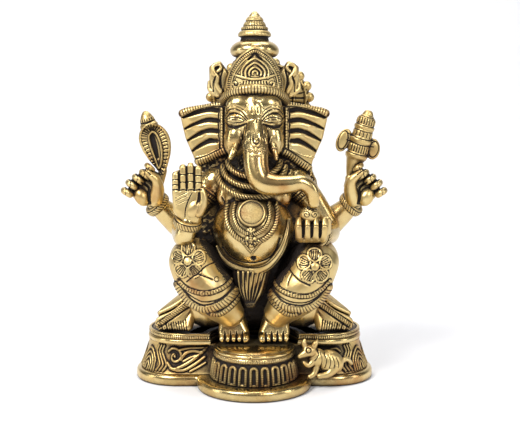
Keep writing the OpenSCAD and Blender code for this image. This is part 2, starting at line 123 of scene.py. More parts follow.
def solid(name: str, points: np.ndarray, faces: Sequence[Sequence[int]]) -> bpy.types.Object:
    """Makes an object of points in mm and their faces.

    Args:
        name: the object's name.
        points: N by 3 array, in mm.
        faces: tuples of point numbers.

    Returns:
        The new object, linked to the scene.
    """
    mesh = bpy.data.meshes.new(name)
    mesh.from_pydata((np.asarray(points) * MM).tolist(), [], [tuple(int(i) for i in f) for f in faces])
    mesh.validate()
    item = bpy.data.objects.new(name, mesh)
    bpy.context.scene.collection.objects.link(item)
    return item


def mend_normals(item: bpy.types.Object) -> None:
    """Points all faces outwards.

    Args:
        item: a closed mesh object.
    """
    take(item)
    bpy.ops.object.mode_set(mode="EDIT")
    bpy.ops.mesh.select_all(action="SELECT")
    bpy.ops.mesh.normals_make_consistent(inside=False)
    bpy.ops.object.mode_set(mode="OBJECT")


def ball(centre: Point, radii: Point, turn: Point = (0, 0, 0), segments: int = 28) -> bpy.types.Object:
    """Adds an egg-shaped mass.

    Args:
        centre: its middle, in mm.
        radii: half widths along its own axes, in mm.
        turn: its rotation in degrees.
        segments: facets round it.

    Returns:
        The new object with its place in its mesh.
    """
    deselect()
    bpy.ops.mesh.primitive_uv_sphere_add(segments=segments, ring_count=segments // 2 + 2, radius=1.0)
    item = bpy.context.active_object
    place = Matrix.Translation(Vector(centre) * MM)
    for axis, degrees in zip("XYZ", turn):
        place = place @ Matrix.Rotation(math.radians(degrees), 4, axis) if degrees else place
    place = place @ Matrix.Diagonal((radii[0] * MM, radii[1] * MM, radii[2] * MM, 1.0))
    item.data.transform(place)
    return item


def smooth_line(points: Sequence[Point], steps: int = 6, closed: bool = False) -> Line:
    """Runs a smooth curve through points of any dimension.

    Args:
        points: the points to pass through.
        steps: new points for each stretch.
        closed: whether the last point joins the first.

    Returns:
        The curve's points, one row each.
    """
    p = np.asarray(points, dtype=float)
    if len(p) < 3 and not closed:
        t = np.linspace(0, 1, steps + 1)[:, None]
        return p[0] * (1 - t) + p[-1] * t
    n = len(p)
    rows = []
    for i in range(n if closed else n - 1):
        a, b, c, d = (
            (p[(i - 1) % n], p[i], p[(i + 1) % n], p[(i + 2) % n])
            if closed
            else (p[max(i - 1, 0)], p[i], p[i + 1], p[min(i + 2, n - 1)])
        )
        for k in range(steps):
            t = k / steps
            rows.append(0.5 * (2 * b + (c - a) * t + (2 * a - 5 * b + 4 * c - d) * t * t + (3 * b - a - 3 * c + d) * t ** 3))
    if not closed:
        rows.append(p[-1])
    return np.array(rows)


def limb(points: Sequence[Point], sides: int = 20, steps: int = 5, squash: float = 1.0) -> bpy.types.Object:
    """Sweeps a round, tapering limb with domed ends.

    Args:
        points: x, y, z and radius of each station, in mm.
        sides: facets round it.
        steps: rings for each stretch.
        squash: its thickness front to back, as a share of its width.

    Returns:
        The limb as a closed mesh object.
    """
    line = smooth_line(points, steps)
    centre, radius = line[:, :3], np.maximum(line[:, 3], 0.05)
    ahead = np.gradient(centre, axis=0)
    ahead /= np.linalg.norm(ahead, axis=1)[:, None] + 1e-12
    stations = []
    for k in range(3, 0, -1):
        a = math.radians(28 * k)
        stations.append((centre[0] - ahead[0] * radius[0] * math.sin(a), ahead[0], radius[0] * math.cos(a)))
    stations += list(zip(centre, ahead, radius))
    for k in range(1, 4):
        a = math.radians(28 * k)
        stations.append((centre[-1] + ahead[-1] * radius[-1] * math.sin(a), ahead[-1], radius[-1] * math.cos(a)))
    side = np.cross(stations[0][1], (0.0, 1.0, 0.0))
    if np.linalg.norm(side) < 0.2:
        side = np.array([1.0, 0.0, 0.0])
    turns = np.linspace(0, TAU, sides, endpoint=False)
    rows = []
    for middle, forward, r in stations:
        side = side - forward * np.dot(side, forward)
        side /= np.linalg.norm(side) + 1e-12
        up = np.cross(forward, side)
        rows.append(middle + r * (np.cos(turns)[:, None] * side + squash * np.sin(turns)[:, None] * up))
    tips = [stations[0][0] - stations[0][1] * radius[0] * 0.06, stations[-1][0] + stations[-1][1] * radius[-1] * 0.06]
    return lathe_rows("limb", rows, tips)


def lathe_rows(name: str, rows: Sequence[np.ndarray], tips: Optional[Sequence[Point]] = None, loop: bool = False) -> bpy.types.Object:
    """Skins closed rings of equal length into a solid.

    Args:
        name: the object's name.
        rows: the rings, in order.
        tips: the two end points that close the solid, or none.
        loop: whether the last ring joins the first instead.

    Returns:
        The closed mesh object.
    """
    count = len(rows[0])
    points = np.concatenate([np.asarray(r, dtype=float) for r in rows])
    faces = []
    for i in range(len(rows) if loop else len(rows) - 1):
        a, b = i * count, ((i + 1) % len(rows)) * count
        faces += [(a + k, a + (k + 1) % count, b + (k + 1) % count, b + k) for k in range(count)]
    if tips is not None:
        points = np.concatenate([points, np.asarray(tips, dtype=float)])
        first, last, top = len(points) - 2, len(points) - 1, (len(rows) - 1) * count
        faces += [(first, (k + 1) % count, k) for k in range(count)]
        faces += [(last, top + k, top + (k + 1) % count) for k in range(count)]
    item = solid(name, points, faces)
    mend_normals(item)
    return item


def fuse(name: str, parts: Sequence[bpy.types.Object], grain: float, rounds: int = 3) -> bpy.types.Object:
    """Melts overlapping solids into one skin, as the wax model's parts are.

    Args:
        name: the piece's name.
        parts: closed solids.
        grain: the skin's facet size, in mm.
        rounds: how many times the skin is smoothed.

    Returns:
        The one object.
    """
    deselect()
    for part in parts:
        part.select_set(True)
    bpy.context.view_layer.objects.active = parts[0]
    if len(parts) > 1:
        bpy.ops.object.join()
    item = bpy.context.active_object
    item.name = name
    item.data.name = name
    skin = item.modifiers.new("skin", "REMESH")
    skin.mode, skin.voxel_size, skin.adaptivity = "VOXEL", grain * MM, 0.0
    bpy.ops.object.modifier_apply(modifier=skin.name)
    if rounds:
        ease = item.modifiers.new("ease", "SMOOTH")
        ease.factor, ease.iterations = 0.5, rounds
        bpy.ops.object.modifier_apply(modifier=ease.name)
    return item


# ---------------------------------------------------------------- relief


class Relief:
    """Chases a mesh: raises and cuts lines, and remembers where dark patina stays and where shade is painted in."""

    def __init__(self, item: bpy.types.Object) -> None:
        """Reads the mesh.

        Args:
            item: the object to chase, in figure or base points.
        """
        self.item = item
        count = len(item.data.vertices)
        flat = np.empty(count * 3)
        item.data.vertices.foreach_get("co", flat)
        self.co = flat.reshape(-1, 3) / MM
        item.data.vertices.foreach_get("normal", flat)
        self.no = flat.reshape(-1, 3).copy()
        self.lift = np.zeros(count)
        self.stain_and_shade = np.zeros(count)
        self.phase = np.zeros(count)
        self.hatch = np.zeros(count)

    @property
    def front(self) -> np.ndarray:
        """X and Z of each point."""
        return self.co[:, (0, 2)]

    def facing(self, way: Point = (0, -1, 0), least: float = 0.15) -> np.ndarray:
        """Says which points look one way.

        Args:
            way: the direction.
            least: the smallest cosine that counts.

        Returns:
            One truth value for each point.
        """
        return self.no @ np.asarray(way, dtype=float) > least

    def near(self, line: Line, reach: float, flat: np.ndarray, where: np.ndarray) -> tuple:
        """Finds the points near a line on a flat map.

        Args:
            line: the line's points on the map.
            reach: how far to look, in mm.
            flat: each point's place on the map.
            where: the points that may be touched.

        Returns:
            Their numbers, distance, signed side distance, and run along the line.
        """
        widths = line[:, 2] if line.shape[1] > 2 else np.ones(len(line))
        line = line[:, :2]
        low, high = line.min(0) - reach, line.max(0) + reach
        picked = np.nonzero(where & np.all((flat > low) & (flat < high), axis=1))[0]
        if len(picked) == 0 or len(line) < 2:
            return picked[:0], np.zeros(0), np.zeros(0), np.zeros(0)
        best = np.full(len(picked), 1e9)
        run = np.zeros(len(picked))
        side = np.zeros(len(picked))
        spot = flat[picked]
        start = 0.0
        for a, b, wide, next_wide in zip(line[:-1], line[1:], widths[:-1], widths[1:]):
            d = b - a
            length = float(np.hypot(*d)) + 1e-9
            t = np.clip(((spot - a) @ d) / length ** 2, 0, 1)
            gap = spot - a - t[:, None] * d
            dist = np.hypot(gap[:, 0], gap[:, 1]) / (wide + (next_wide - wide) * t)
            closer = dist < best
            best = np.where(closer, dist, best)
            run = np.where(closer, start + t * length, run)
            side = np.where(closer, (d[0] * gap[:, 1] - d[1] * gap[:, 0]) / length, side)
            start += length
        keep = best < reach
        return picked[keep], best[keep], side[keep], run[keep]

    def groove(self, points: Sequence[Point], width: float, depth: float, flat: Optional[np.ndarray] = None,
               where: Optional[np.ndarray] = None, stain_and_shade: float = 1.0, steps: int = 6, closed: bool = False) -> None:
        """Cuts a rounded line.

        Args:
            points: the line's points on the map.
            width: half width of the cut, in mm.
            depth: its depth, in mm.
            flat: the map, or none for the front.
            where: the points that may be cut, or none for those that face front.
            stain_and_shade: how dark its bottom is.
            steps: smoothing steps for each stretch.
            closed: whether the line is a ring.
        """
        flat = self.front if flat is None else flat
        where = self.facing() if where is None else where
        line = smooth_line(points, steps, closed)
        if closed:
            line = np.vstack([line, line[:1]])
        picked, dist, _, _ = self.near(line, width * 2.2, flat, where)
        bell = np.exp(-((dist / width) ** 2) * 1.4)
        self.lift[picked] = np.minimum(self.lift[picked], self.lift[picked] * (1 - bell) - depth * bell)
        self.stain_and_shade[picked] = np.maximum(self.stain_and_shade[picked], stain_and_shade * bell)

    def ridge(self, points: Sequence[Point], width: float, height: float, flat: Optional[np.ndarray] = None,
              where: Optional[np.ndarray] = None, pitch: float = 0.0, slant: float = 0.0, edge: float = 0.8,
              steps: int = 6, closed: bool = False) -> None:
        """Raises a rounded cord, plain or hatched.

        Args:
            points: the line's points on the map.
            width: half width of the cord, in mm.
            height: its height, in mm.
            flat: the map, or none for the front.
            where: the points that may be raised, or none for those that face front.
            pitch: spacing of the hatching in mm, or 0 for a plain cord.
            slant: how far the hatching leans, in mm a mm.
            edge: how dark the line along its foot is.
            steps: smoothing steps for each stretch.
            closed: whether the line is a ring.
        """
        flat = self.front if flat is None else flat
        where = self.facing() if where is None else where
        line = smooth_line(points, steps, closed)
        if closed:
            line = np.vstack([line, line[:1]])
        picked, dist, side, run = self.near(line, width * 1.5, flat, where)
        share = np.clip(dist / width, 0, 1)
        dome = np.sqrt(np.clip(1 - share ** 2.5, 0, 1))
        self.lift[picked] = np.maximum(self.lift[picked], height * dome) * (share < 1) + self.lift[picked] * (share >= 1)
        foot = np.exp(-(((dist / width) - 1.12) / 0.16) ** 2)
        self.stain_and_shade[picked] = np.maximum(self.stain_and_shade[picked] * (share >= 0.9), edge * foot)
        if pitch > 0:
            inside = share < 0.86
            self.phase[picked[inside]] = (run[inside] + slant * side[inside]) / pitch
            self.hatch[picked[inside]] = 1.0

    def disc(self, centre: Point, radius: float, height: float, flat: Optional[np.ndarray] = None,
             where: Optional[np.ndarray] = None, edge: float = 0.9) -> None:
        """Raises a button with a dark foot.

        Args:
            centre: its middle on the map.
            radius: its radius, in mm.
            height: its height, in mm; negative sinks it.
            flat: the map, or none for the front.
            where: the points that may move, or none for those that face front.
            edge: how dark its foot is.
        """
        flat = self.front if flat is None else flat
        where = self.facing() if where is None else where
        dist = np.hypot(flat[:, 0] - centre[0], flat[:, 1] - centre[1])
        picked = np.nonzero(where & (dist < radius * 1.5))[0]
        share = dist[picked] / radius
        dome = np.sqrt(np.clip(1 - share ** 4, 0, 1))
        self.lift[picked] = np.where(share < 1, height * dome, self.lift[picked])
        foot = np.exp(-((share - 1.08) / 0.16) ** 2)
        self.stain_and_shade[picked] = np.maximum(self.stain_and_shade[picked] * (share >= 0.9), edge * foot)

    def rough(self, amount: float, size: float, where: np.ndarray, stain_and_shade: float = 0.5, seed: int = 3) -> None:
        """Leaves a crusty cast surface where the chisel didn't reach.

        Args:
            amount: its height, in mm.
            size: the size of its lumps, in mm.
            where: how much of it each point gets, 0 to 1.
            stain_and_shade: how dark it is.
            seed: the pattern's number.
        """
        rng = np.random.default_rng(seed)
        waves = np.zeros(len(self.co))
        for _ in range(14):
            way = rng.normal(size=3)
            way *= TAU / (size * rng.uniform(0.7, 1.6)) / np.linalg.norm(way)
            waves += np.sin(self.co @ way + rng.uniform(0, TAU))
        waves /= 3.7
        self.lift += amount * waves * where
        self.stain_and_shade = np.maximum(self.stain_and_shade, stain_and_shade * where * np.clip(0.62 - 0.5 * waves, 0, 1))

    def finish(self, offset: np.ndarray, near_gain: float = 6.0, far_gain: float = 0.9) -> bpy.types.Object:
        """Moves the points and stores the patina, with its painted shade, and the hatching.

        Args:
            offset: what takes the points to the frame, in mm.
            near_gain: how strongly small hollows darken.
            far_gain: how strongly wide hollows darken.

        Returns:
            The chased object.
        """
        mesh = self.item.data
        co = self.co + self.no * self.lift[:, None]
        mesh.vertices.foreach_set("co", ((co + offset) * MM).ravel())
        mesh.update()
        flat = np.empty(len(co) * 3)
        mesh.vertices.foreach_get("normal", flat)
        no = flat.reshape(-1, 3)
        pairs = np.empty(len(mesh.edges) * 2, dtype=np.int64)
        mesh.edges.foreach_get("vertices", pairs)
        pairs = pairs.reshape(-1, 2)
        both = np.concatenate([pairs, pairs[:, ::-1]])
        number = np.maximum(np.bincount(both[:, 0], minlength=len(co)), 1)[:, None]

        def eased(points: np.ndarray, rounds: int) -> np.ndarray:
            """Averages each point with its neighbours a number of times."""
            for _ in range(rounds):
                total = np.stack([np.bincount(both[:, 0], points[both[:, 1], k], len(points)) for k in range(3)], 1)
                points = 0.5 * points + 0.5 * total / number
            return points

        soft = eased(co, 6)
        softer = eased(soft, 24)
        cavity = np.einsum("ij,ij->i", soft - co, no) * near_gain + np.einsum("ij,ij->i", softer - co, no) * far_gain
        patina_and_shade = np.clip(self.stain_and_shade, 0, 1) + np.maximum(1.5 * cavity, -0.3)
        for title, values in (("patina_and_shade", patina_and_shade), ("phase", self.phase), ("hatch", self.hatch)):
            layer = mesh.attributes.new(title, "FLOAT", "POINT")
            layer.data.foreach_set("value", values.astype(np.float32))
        take(self.item)
        bpy.ops.object.shade_smooth()
        return self.item


# ---------------------------------------------------------------- finishes


def linear(code: str) -> tuple:
    """Turns an sRGB hex colour to linear.

    Args:
        code: such as "#C9A24A".

    Returns:
        Red, green, blue and alpha.
    """
    parts = [int(code[i:i + 2], 16) / 255 for i in (1, 3, 5)]
    return (*[p / 12.92 if p <= 0.04045 else ((p + 0.055) / 1.055) ** 2.4 for p in parts], 1.0)


def add_node(tree: bpy.types.NodeTree, kind: str, settings: Optional[dict] = None, **links: object) -> bpy.types.Node:
    """Adds a shader node.

    Args:
        tree: the material's node tree.
        kind: the node's type.
        settings: its properties by name.
        **links: its inputs by number or name (in_0, in_Scale): a value, or another node's output.

    Returns:
        The new node.
    """
    node = tree.nodes.new(kind)
    for name, value in (settings or {}).items():
        setattr(node, name, value)
    for name, value in links.items():
        key = name[3:].replace("_", " ")
        socket = node.inputs[int(key)] if key.isdigit() else node.inputs[key]
        if isinstance(value, bpy.types.NodeSocket):
            tree.links.new(value, socket)
        else:
            socket.default_value = value
    return node


@dataclass(frozen=True)
class ChasedBrass:
    """Cast brass, chased, polished on its high parts, with dark patina and painted shade in the hollows.

    Polishing gives the high parts sharp cream highlights. The patina wash keeps the hollows dull
    brown-black, and painted shade from an occlusion node darkens the colour near other surfaces, so the carving reads
    from far off.
    """

    name: str
    bright: str = "#DCCB98"
    warm: str = "#BE9A56"
    tarnish: str = "#9C6430"
    # The dark tone stands for patina and for painted shade in hollows and near other surfaces
    patina_and_shade: str = "#1A110A"
    polish: float = 0.2
    # How strongly occlusion darkens the colour: painted shade together with patina
    crevice: float = 1.5
    bias: float = 0.02
    grain: float = 0.02

    def build(self) -> bpy.types.Material:
        """Makes the material.

        Returns:
            The material.
        """
        material = bpy.data.materials.new(self.name)
        material.use_nodes = True
        tree = material.node_tree
        tree.nodes.clear()
        place = add_node(tree, "ShaderNodeTexCoord").outputs["Object"]
        # Tone drifts over about 9 mm, as hand polishing leaves it
        drift = add_node(tree, "ShaderNodeTexNoise", None, in_Vector=place, in_Scale=110.0, in_Detail=3.0).outputs["Fac"]
        # Cast skin, lumps of about 0.8 mm, drawn twice as coarse as real so that it shows
        skin = add_node(tree, "ShaderNodeTexNoise", None, in_Vector=place, in_Scale=1250.0, in_Detail=2.0).outputs["Fac"]
        stain_and_shade = add_node(tree, "ShaderNodeAttribute", {"attribute_name": "patina_and_shade"}).outputs["Fac"]
        phase = add_node(tree, "ShaderNodeAttribute", {"attribute_name": "phase"}).outputs["Fac"]
        hatch = add_node(tree, "ShaderNodeAttribute", {"attribute_name": "hatch"}).outputs["Fac"]
        turn = add_node(tree, "ShaderNodeMath", {"operation": "MULTIPLY"}, in_0=phase, in_1=TAU).outputs[0]
        wave = add_node(tree, "ShaderNodeMath", {"operation": "COSINE"}, in_0=turn).outputs[0]
        cut = add_node(tree, "ShaderNodeMapRange", {"interpolation_type": "SMOOTHSTEP"}, in_Value=wave,
                       in_From_Min=-0.35, in_From_Max=0.75).outputs[0]
        cut = add_node(tree, "ShaderNodeMath", {"operation": "MULTIPLY"}, in_0=cut, in_1=hatch).outputs[0]
        # Patina and painted shade: the colour darkens within about 9 mm of a neighbouring surface, from ambient
        # occlusion
        open_sky = add_node(tree, "ShaderNodeAmbientOcclusion", {"samples": 6}, in_Distance=0.009).outputs["AO"]
        crevice = add_node(tree, "ShaderNodeMath", {"operation": "SUBTRACT"}, in_0=1.0, in_1=open_sky).outputs[0]
        crevice = add_node(tree, "ShaderNodeMath", {"operation": "MULTIPLY_ADD"}, in_0=crevice, in_1=self.crevice,
                           in_2=self.bias).outputs[0]
        dark = add_node(tree, "ShaderNodeMath", {"operation": "ADD"}, in_0=stain_and_shade, in_1=crevice).outputs[0]
        dark = add_node(tree, "ShaderNodeMath", {"operation": "MULTIPLY_ADD"}, in_0=cut, in_1=0.95, in_2=dark).outputs[0]
        blotch = add_node(tree, "ShaderNodeMath", {"operation": "SUBTRACT"}, in_0=skin, in_1=0.5).outputs[0]
        dark = add_node(tree, "ShaderNodeMath", {"operation": "MULTIPLY_ADD"}, in_0=blotch, in_1=0.35, in_2=dark).outputs[0]
        dark = add_node(tree, "ShaderNodeMapRange", {"interpolation_type": "SMOOTHSTEP"}, in_Value=dark,
                        in_From_Min=0.28, in_From_Max=0.92).outputs[0]
        metal = add_node(tree, "ShaderNodeMix", {"data_type": "RGBA"}, in_0=drift, in_6=linear(self.bright),
                         in_7=linear(self.warm)).outputs[2]
        # Reddish tarnish lies in patches of about 15 mm where the wash was wiped thin
        patch = add_node(tree, "ShaderNodeTexNoise", None, in_Vector=place, in_Scale=62.0, in_Detail=4.0).outputs["Fac"]
        patch = add_node(tree, "ShaderNodeMath", {"operation": "MULTIPLY_ADD"}, in_0=dark, in_1=0.22, in_2=patch).outputs[0]
        patch = add_node(tree, "ShaderNodeMapRange", {"interpolation_type": "SMOOTHSTEP"}, in_Value=patch, in_From_Min=0.5,
                         in_From_Max=0.85).outputs[0]
        metal = add_node(tree, "ShaderNodeMix", {"data_type": "RGBA"}, in_0=patch, in_6=metal,
                         in_7=linear(self.tarnish)).outputs[2]
        # Painted shade and patina: the colour mixes towards the dark tone
        colour = add_node(tree, "ShaderNodeMix", {"data_type": "RGBA"}, in_0=dark, in_6=metal,
                          in_7=linear(self.patina_and_shade)).outputs[2]
        rough = add_node(tree, "ShaderNodeMapRange", None, in_Value=dark, in_To_Min=self.polish, in_To_Max=0.62).outputs[0]
        rough = add_node(tree, "ShaderNodeMath", {"operation": "MULTIPLY_ADD"}, in_0=drift, in_1=0.12, in_2=rough).outputs[0]
        shine = add_node(tree, "ShaderNodeMapRange", None, in_Value=dark, in_To_Min=1.0, in_To_Max=0.45).outputs[0]
        height = add_node(tree, "ShaderNodeMath", {"operation": "MULTIPLY"}, in_0=cut, in_1=-0.16).outputs[0]
        height = add_node(tree, "ShaderNodeMath", {"operation": "MULTIPLY_ADD"}, in_0=skin, in_1=self.grain,
                          in_2=height).outputs[0]
        bump = add_node(tree, "ShaderNodeBump", None, in_Strength=1.0, in_Distance=0.001, in_Height=height).outputs[0]
        shader = add_node(tree, "ShaderNodeBsdfPrincipled", None, in_Base_Color=colour, in_Metallic=shine,
                          in_Roughness=rough, in_Normal=bump)
        add_node(tree, "ShaderNodeOutputMaterial", None, in_Surface=shader.outputs[0])
        return material


@dataclass(frozen=True)
class StudioPaper:
    """Matt white paper sweep."""

    name: str = "matt_white_paper"
    tone: str = "#E6E6E8"

    def build(self) -> bpy.types.Material:
        """Makes the material."""
        material = bpy.data.materials.new(self.name)
        material.use_nodes = True
        shader = material.node_tree.nodes["Principled BSDF"]
        shader.inputs["Base Color"].default_value = linear(self.tone)
        shader.inputs["Roughness"].default_value = 0.9
        shader.inputs["Specular IOR Level"].default_value = 0.1
        return material


class Finish(Enum):
    """The finishes on the statue."""

    POLISHED = ChasedBrass("polished_cast_brass")
    SATIN = ChasedBrass("satin_chased_brass", bright="#E0CE98", warm="#BE9A56", polish=0.32, crevice=1.7, bias=0.06, grain=0.05)
    CARVED = ChasedBrass("carved_patinated_brass", bright="#D8C48C", warm="#B08C4C", polish=0.34, crevice=1.7, bias=0.14, grain=0.06)


# ---------------------------------------------------------------- workshop


@dataclass
class Workshop:
    """Keeps the finishes and hands each finished piece to the frame."""

    datum: Datum
    materials: dict = field(default_factory=dict)

    def hand_in(self, item: bpy.types.Object, nodes: Sequence[str], finish: Finish = Finish.POLISHED) -> None:
        """Dresses a piece and joins it to the frame.

        Args:
            item: the finished piece.
            nodes: the CAD nodes it stands for.
            finish: its finish.
        """
        if finish not in self.materials:
            self.materials[finish] = finish.value.build()
        item.data.materials.clear()
        item.data.materials.append(self.materials[finish])
        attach(item, "root")
        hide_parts(*nodes)
        LOG.info("%s: %d faces, for %s", item.name, len(item.data.polygons), ", ".join(nodes))

    def figure(self, relief: Relief, nodes: Sequence[str], finish: Finish = Finish.POLISHED, near_gain: float = 5.0,
               far_gain: float = 0.9) -> None:
        """Finishes a piece drawn in figure points.

        Args:
            relief: the chased piece.
            nodes: the CAD nodes it stands for.
            finish: its finish.
            near_gain: how strongly small hollows darken.
            far_gain: how strongly wide hollows darken.
        """
        self.hand_in(relief.finish(self.datum.offset(), near_gain, far_gain), nodes, finish)

    def base(self, relief: Relief, nodes: Sequence[str], finish: Finish = Finish.POLISHED, near_gain: float = 5.0,
             far_gain: float = 0.9) -> None:
        """Finishes a piece drawn in the frame's own points, with the same arguments as figure."""
        self.hand_in(relief.finish(np.zeros(3), near_gain, far_gain), nodes, finish)


# ---------------------------------------------------------------- base


@dataclass
class Base:
    """Slab, carved wall, seat plate, petal drum and footrest plate."""

    slab_low: Vector
    slab_high: Vector
    drum_mid: float
    wall_span: tuple
    seat_span: tuple
    drum_span: tuple
    plate_span: tuple
    slab_half_w: float = 63.0
    slab_r: float = 23.5
    lobe_r: float = 29.3
    seat_half_w: float = 56.5
    seat_r: float = 21.5
    drum_r: float = 22.0
    plate_r: float = 20.8
    petals: int = 24

    @classmethod
    def from_frame(cls) -> "Base":
        """Reads the base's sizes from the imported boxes."""
        span = {n: (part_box(n)[0][2] / MM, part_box(n)[1][2] / MM)
                for n in ("pedestal_wall", "seat_plate", "footrest_drum", "footrest_plate")}
        low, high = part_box("base_slab")
        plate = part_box("footrest_plate")
        return cls(Vector(low) / MM, Vector(high) / MM, (plate[0][1] + plate[1][1]) / 2 / MM, span["pedestal_wall"],
                   span["seat_plate"], span["footrest_drum"], span["footrest_plate"])

    @property
    def slab_y(self) -> float:
        """The centre line of the slab's long part."""
        return self.slab_high[1] - self.slab_r

    def stadium(self, half_w: float, r: float, count: int = 900, notch: float = 0.0) -> tuple:
        """Draws the straight-sided outline with round ends, from the middle of the front to the right.

        Args:
            half_w: half its width, in mm.
            r: its end radius, in mm.
            count: points round it.
            notch: radius of the round notch left for the drum, or 0.

        Returns:
            The points, their outward directions, and the run along the outline.
        """
        flat = half_w - r
        front = self.slab_y - r
        path = []
        if notch > 0:
            angles = np.linspace(math.pi / 2, math.asin(max(-1, min(1, (front - self.drum_mid) / notch))), 60)
            path += [(notch * math.cos(a), self.drum_mid + notch * math.sin(a)) for a in angles]
        else:
            path += [(x, front) for x in np.linspace(0, flat, 60)]
        path += [(x, front) for x in np.linspace(path[-1][0] + 0.3, flat, 50)] if notch > 0 else []
        path += [(flat + r * math.sin(a), self.slab_y - r * math.cos(a)) for a in np.linspace(0.02, math.pi - 0.02, 140)]
        path += [(x, self.slab_y + r) for x in np.linspace(flat, 0, 60)]
        half = np.array(path)
        whole = np.vstack([half, (half * (-1, 1))[::-1][1:-1]])
        step = np.hypot(*np.diff(np.vstack([whole, whole[:1]]), axis=0).T)
        run = np.concatenate([[0], np.cumsum(step)])
        even = np.linspace(0, run[-1], count, endpoint=False)
        closed = np.vstack([whole, whole[:1]])
        points = np.stack([np.interp(even, run, closed[:, k]) for k in (0, 1)], 1)
        along = np.roll(points, -1, 0) - np.roll(points, 1, 0)
        out = np.stack([along[:, 1], -along[:, 0]], 1)
        out /= np.linalg.norm(out, axis=1)[:, None]
        signed = np.where(even > run[-1] / 2, even - run[-1], even)
        return points, out, signed

    def wall_rows(self, half_w: float, r: float, profile: Line, notch: float = 0.0) -> tuple:
        """Raises an outline through a profile of inset and height.

        Args:
            half_w: half the outline's width.
            r: its end radius.
            profile: inset and height of each ring.
            notch: radius of the drum's notch, or 0.

        Returns:
            The rings and the run along the outline.
        """
        points, out, run = self.stadium(half_w, r, notch=notch)
        return [np.column_stack([points - out * inset, np.full(len(points), z)]) for inset, z in profile], run

    def slab(self, shop: Workshop) -> None:
        """The lobed slab with soft edges and a hollow underside."""
        z1 = self.slab_high[2]
        angles = np.linspace(0, TAU, 720, endpoint=False)
        ways = np.stack([np.cos(angles), np.sin(angles)], 1)
        reach = np.linspace(0, 90, 1801)[None, :, None]
        rows = []
        outer = [(1.3, 0), (0.5, 0.25), (0.1, 0.9), (0, 2.0), (0.05, 3.6), (0.3, 4.6), (0.8, 5.3), (1.6, z1), (2.6, z1), (5.0, z1 - 0.1)]
        inner = [(8.0, z1 - 0.2), (8.0, z1 / 2), (7.9, 0.3), (7.5, 0)]
        for inset, z in outer + inner:
            spots = ways[:, None, :] * reach
            x, y = spots[..., 0], spots[..., 1]
            over = np.maximum(np.abs(x) - (self.slab_half_w - self.slab_r), 0)
            inside = (over ** 2 + (y - self.slab_y) ** 2 < (self.slab_r - inset) ** 2)
            inside |= x ** 2 + (y - self.drum_mid) ** 2 < (self.lobe_r - inset) ** 2
            far = np.where(inside, reach[..., 0], 0).max(1)
            far = (np.roll(far, 1) + 2 * far + np.roll(far, -1)) / 4
            rows.append(np.column_stack([ways * far[:, None], np.full(len(angles), z)]))
        relief = Relief(lathe_rows("base_slab", rows, loop=True))
        shop.base(relief, ["base_slab"], near_gain=1.5, far_gain=0.0)

    def wall(self, shop: Workshop) -> None:
        """The flared wall with its carved scrolls, sweeps and nested arches."""
        z0, z1 = self.wall_span
        rise = np.linspace(0, 1, 46)
        profile = [(2.4 + 0.2 + 4.6 * math.sin(t * math.pi / 2) * 0.9, z0 + (z1 - z0) * t) for t in rise]
        rows, run = self.wall_rows(self.slab_half_w, self.slab_r, np.array(profile))
        inner, _ = self.wall_rows(self.slab_half_w, self.slab_r, np.array([(i + 3, z) for i, z in profile[::-15]]))
        item = lathe_rows("pedestal_wall", rows + inner, loop=True)
        relief = Relief(item)
        map_run = np.tile(run, len(rows) + len(inner))
        flat = np.column_stack([map_run, relief.co[:, 2]])
        where = np.arange(len(flat)) < len(run) * len(rows)
        where = np.resize(where, len(flat))
        for side in (-1, 1):
            self.scrollwork(relief, flat, where, side, mouse=side > 0)
        relief.lift = np.where(where, relief.lift - 0.15, relief.lift)
        shop.base(relief, ["pedestal_wall"], Finish.CARVED, near_gain=3.0, far_gain=0.5)

    def scrollwork(self, relief: Relief, flat: np.ndarray, where: np.ndarray, side: int, mouse: bool) -> None:
        """Carves one half of the wall, front and back.

        Args:
            relief: the wall.
            flat: run and height of each point.
            where: the outer face's points.
            side: -1 for the deity's right, 1 for its left.
            mouse: whether the mouse stands before the middle of this half.
        """
        def put(points: Sequence[Point], width: float = 0.62, height: float = 0.75) -> None:
            """Raises one tendril."""
            relief.ridge([(side * s, z) for s, z in points], width * 1.3, height * 1.35, flat, where, edge=1.3)

        for back in (False, True):
            def at(s: float) -> float:
                """Moves a station to the back when its turn comes."""
                return 145.0 - s if back else s
            eye = (41.5, 14.4)
            coil = [(at(eye[0] + 1.0 * side * 0 - (0.5 + 0.0115 * a) * math.cos(math.radians(a + 40)) * 0.9),
                     eye[1] + (0.5 + 0.0115 * a) * math.sin(math.radians(a + 40)) * 0.8) for a in range(0, 500, 36)]
            put(coil, 0.6, 0.95)
            relief.disc((side * at(eye[0]), eye[1]), 0.9, 1.0, flat, where)
            if not (mouse and not back):
                put([(at(46), 11), (at(42), 8.2), (at(36), 10.2), (at(30), 14), (at(25), 18.5)], 0.75, 0.95)
                put([(at(44), 8.6), (at(37), 7.6), (at(31), 10.4), (at(25.5), 14.2)], 0.65, 0.8)
                put([(at(38.5), 17.6), (at(34.5), 18.6), (at(29), 18.9), (at(24.5), 19.2)], 0.6, 0.7)
                put([(at(37.8), 13), (at(35.4), 16), (at(31.5), 17.2), (at(27), 16.4)], 0.75, 0.9)
                put([(at(36.5), 12), (at(33), 13.8), (at(29), 15.2)], 0.55, 0.7)
                put([(at(33), 7.2), (at(28.5), 9.4), (at(25), 11.4)], 0.5, 0.6)
            for k in range(3):
                put([(at(48.5 + 2.3 * k), 7.2), (at(46.6 + 2.4 * k), 10), (at(48.8 + 2.3 * k), 13.5), (at(50.8 + 2.2 * k), 16.6),
                     (at(49.4 + 2.2 * k), 19.6)], 0.55, 0.75)
            for k, r in enumerate((1.5, 3.3, 5.1, 6.9)):
                put([(at(62.5 - r * 1.05), 6.8), (at(62.5 - r * 0.92), 8 + r * 0.7), (at(62.5), 8.2 + r * 1.35),
                     (at(62.5 + r * 0.92), 8 + r * 0.7), (at(62.5 + r * 1.05), 6.8)], 0.5, 0.7)

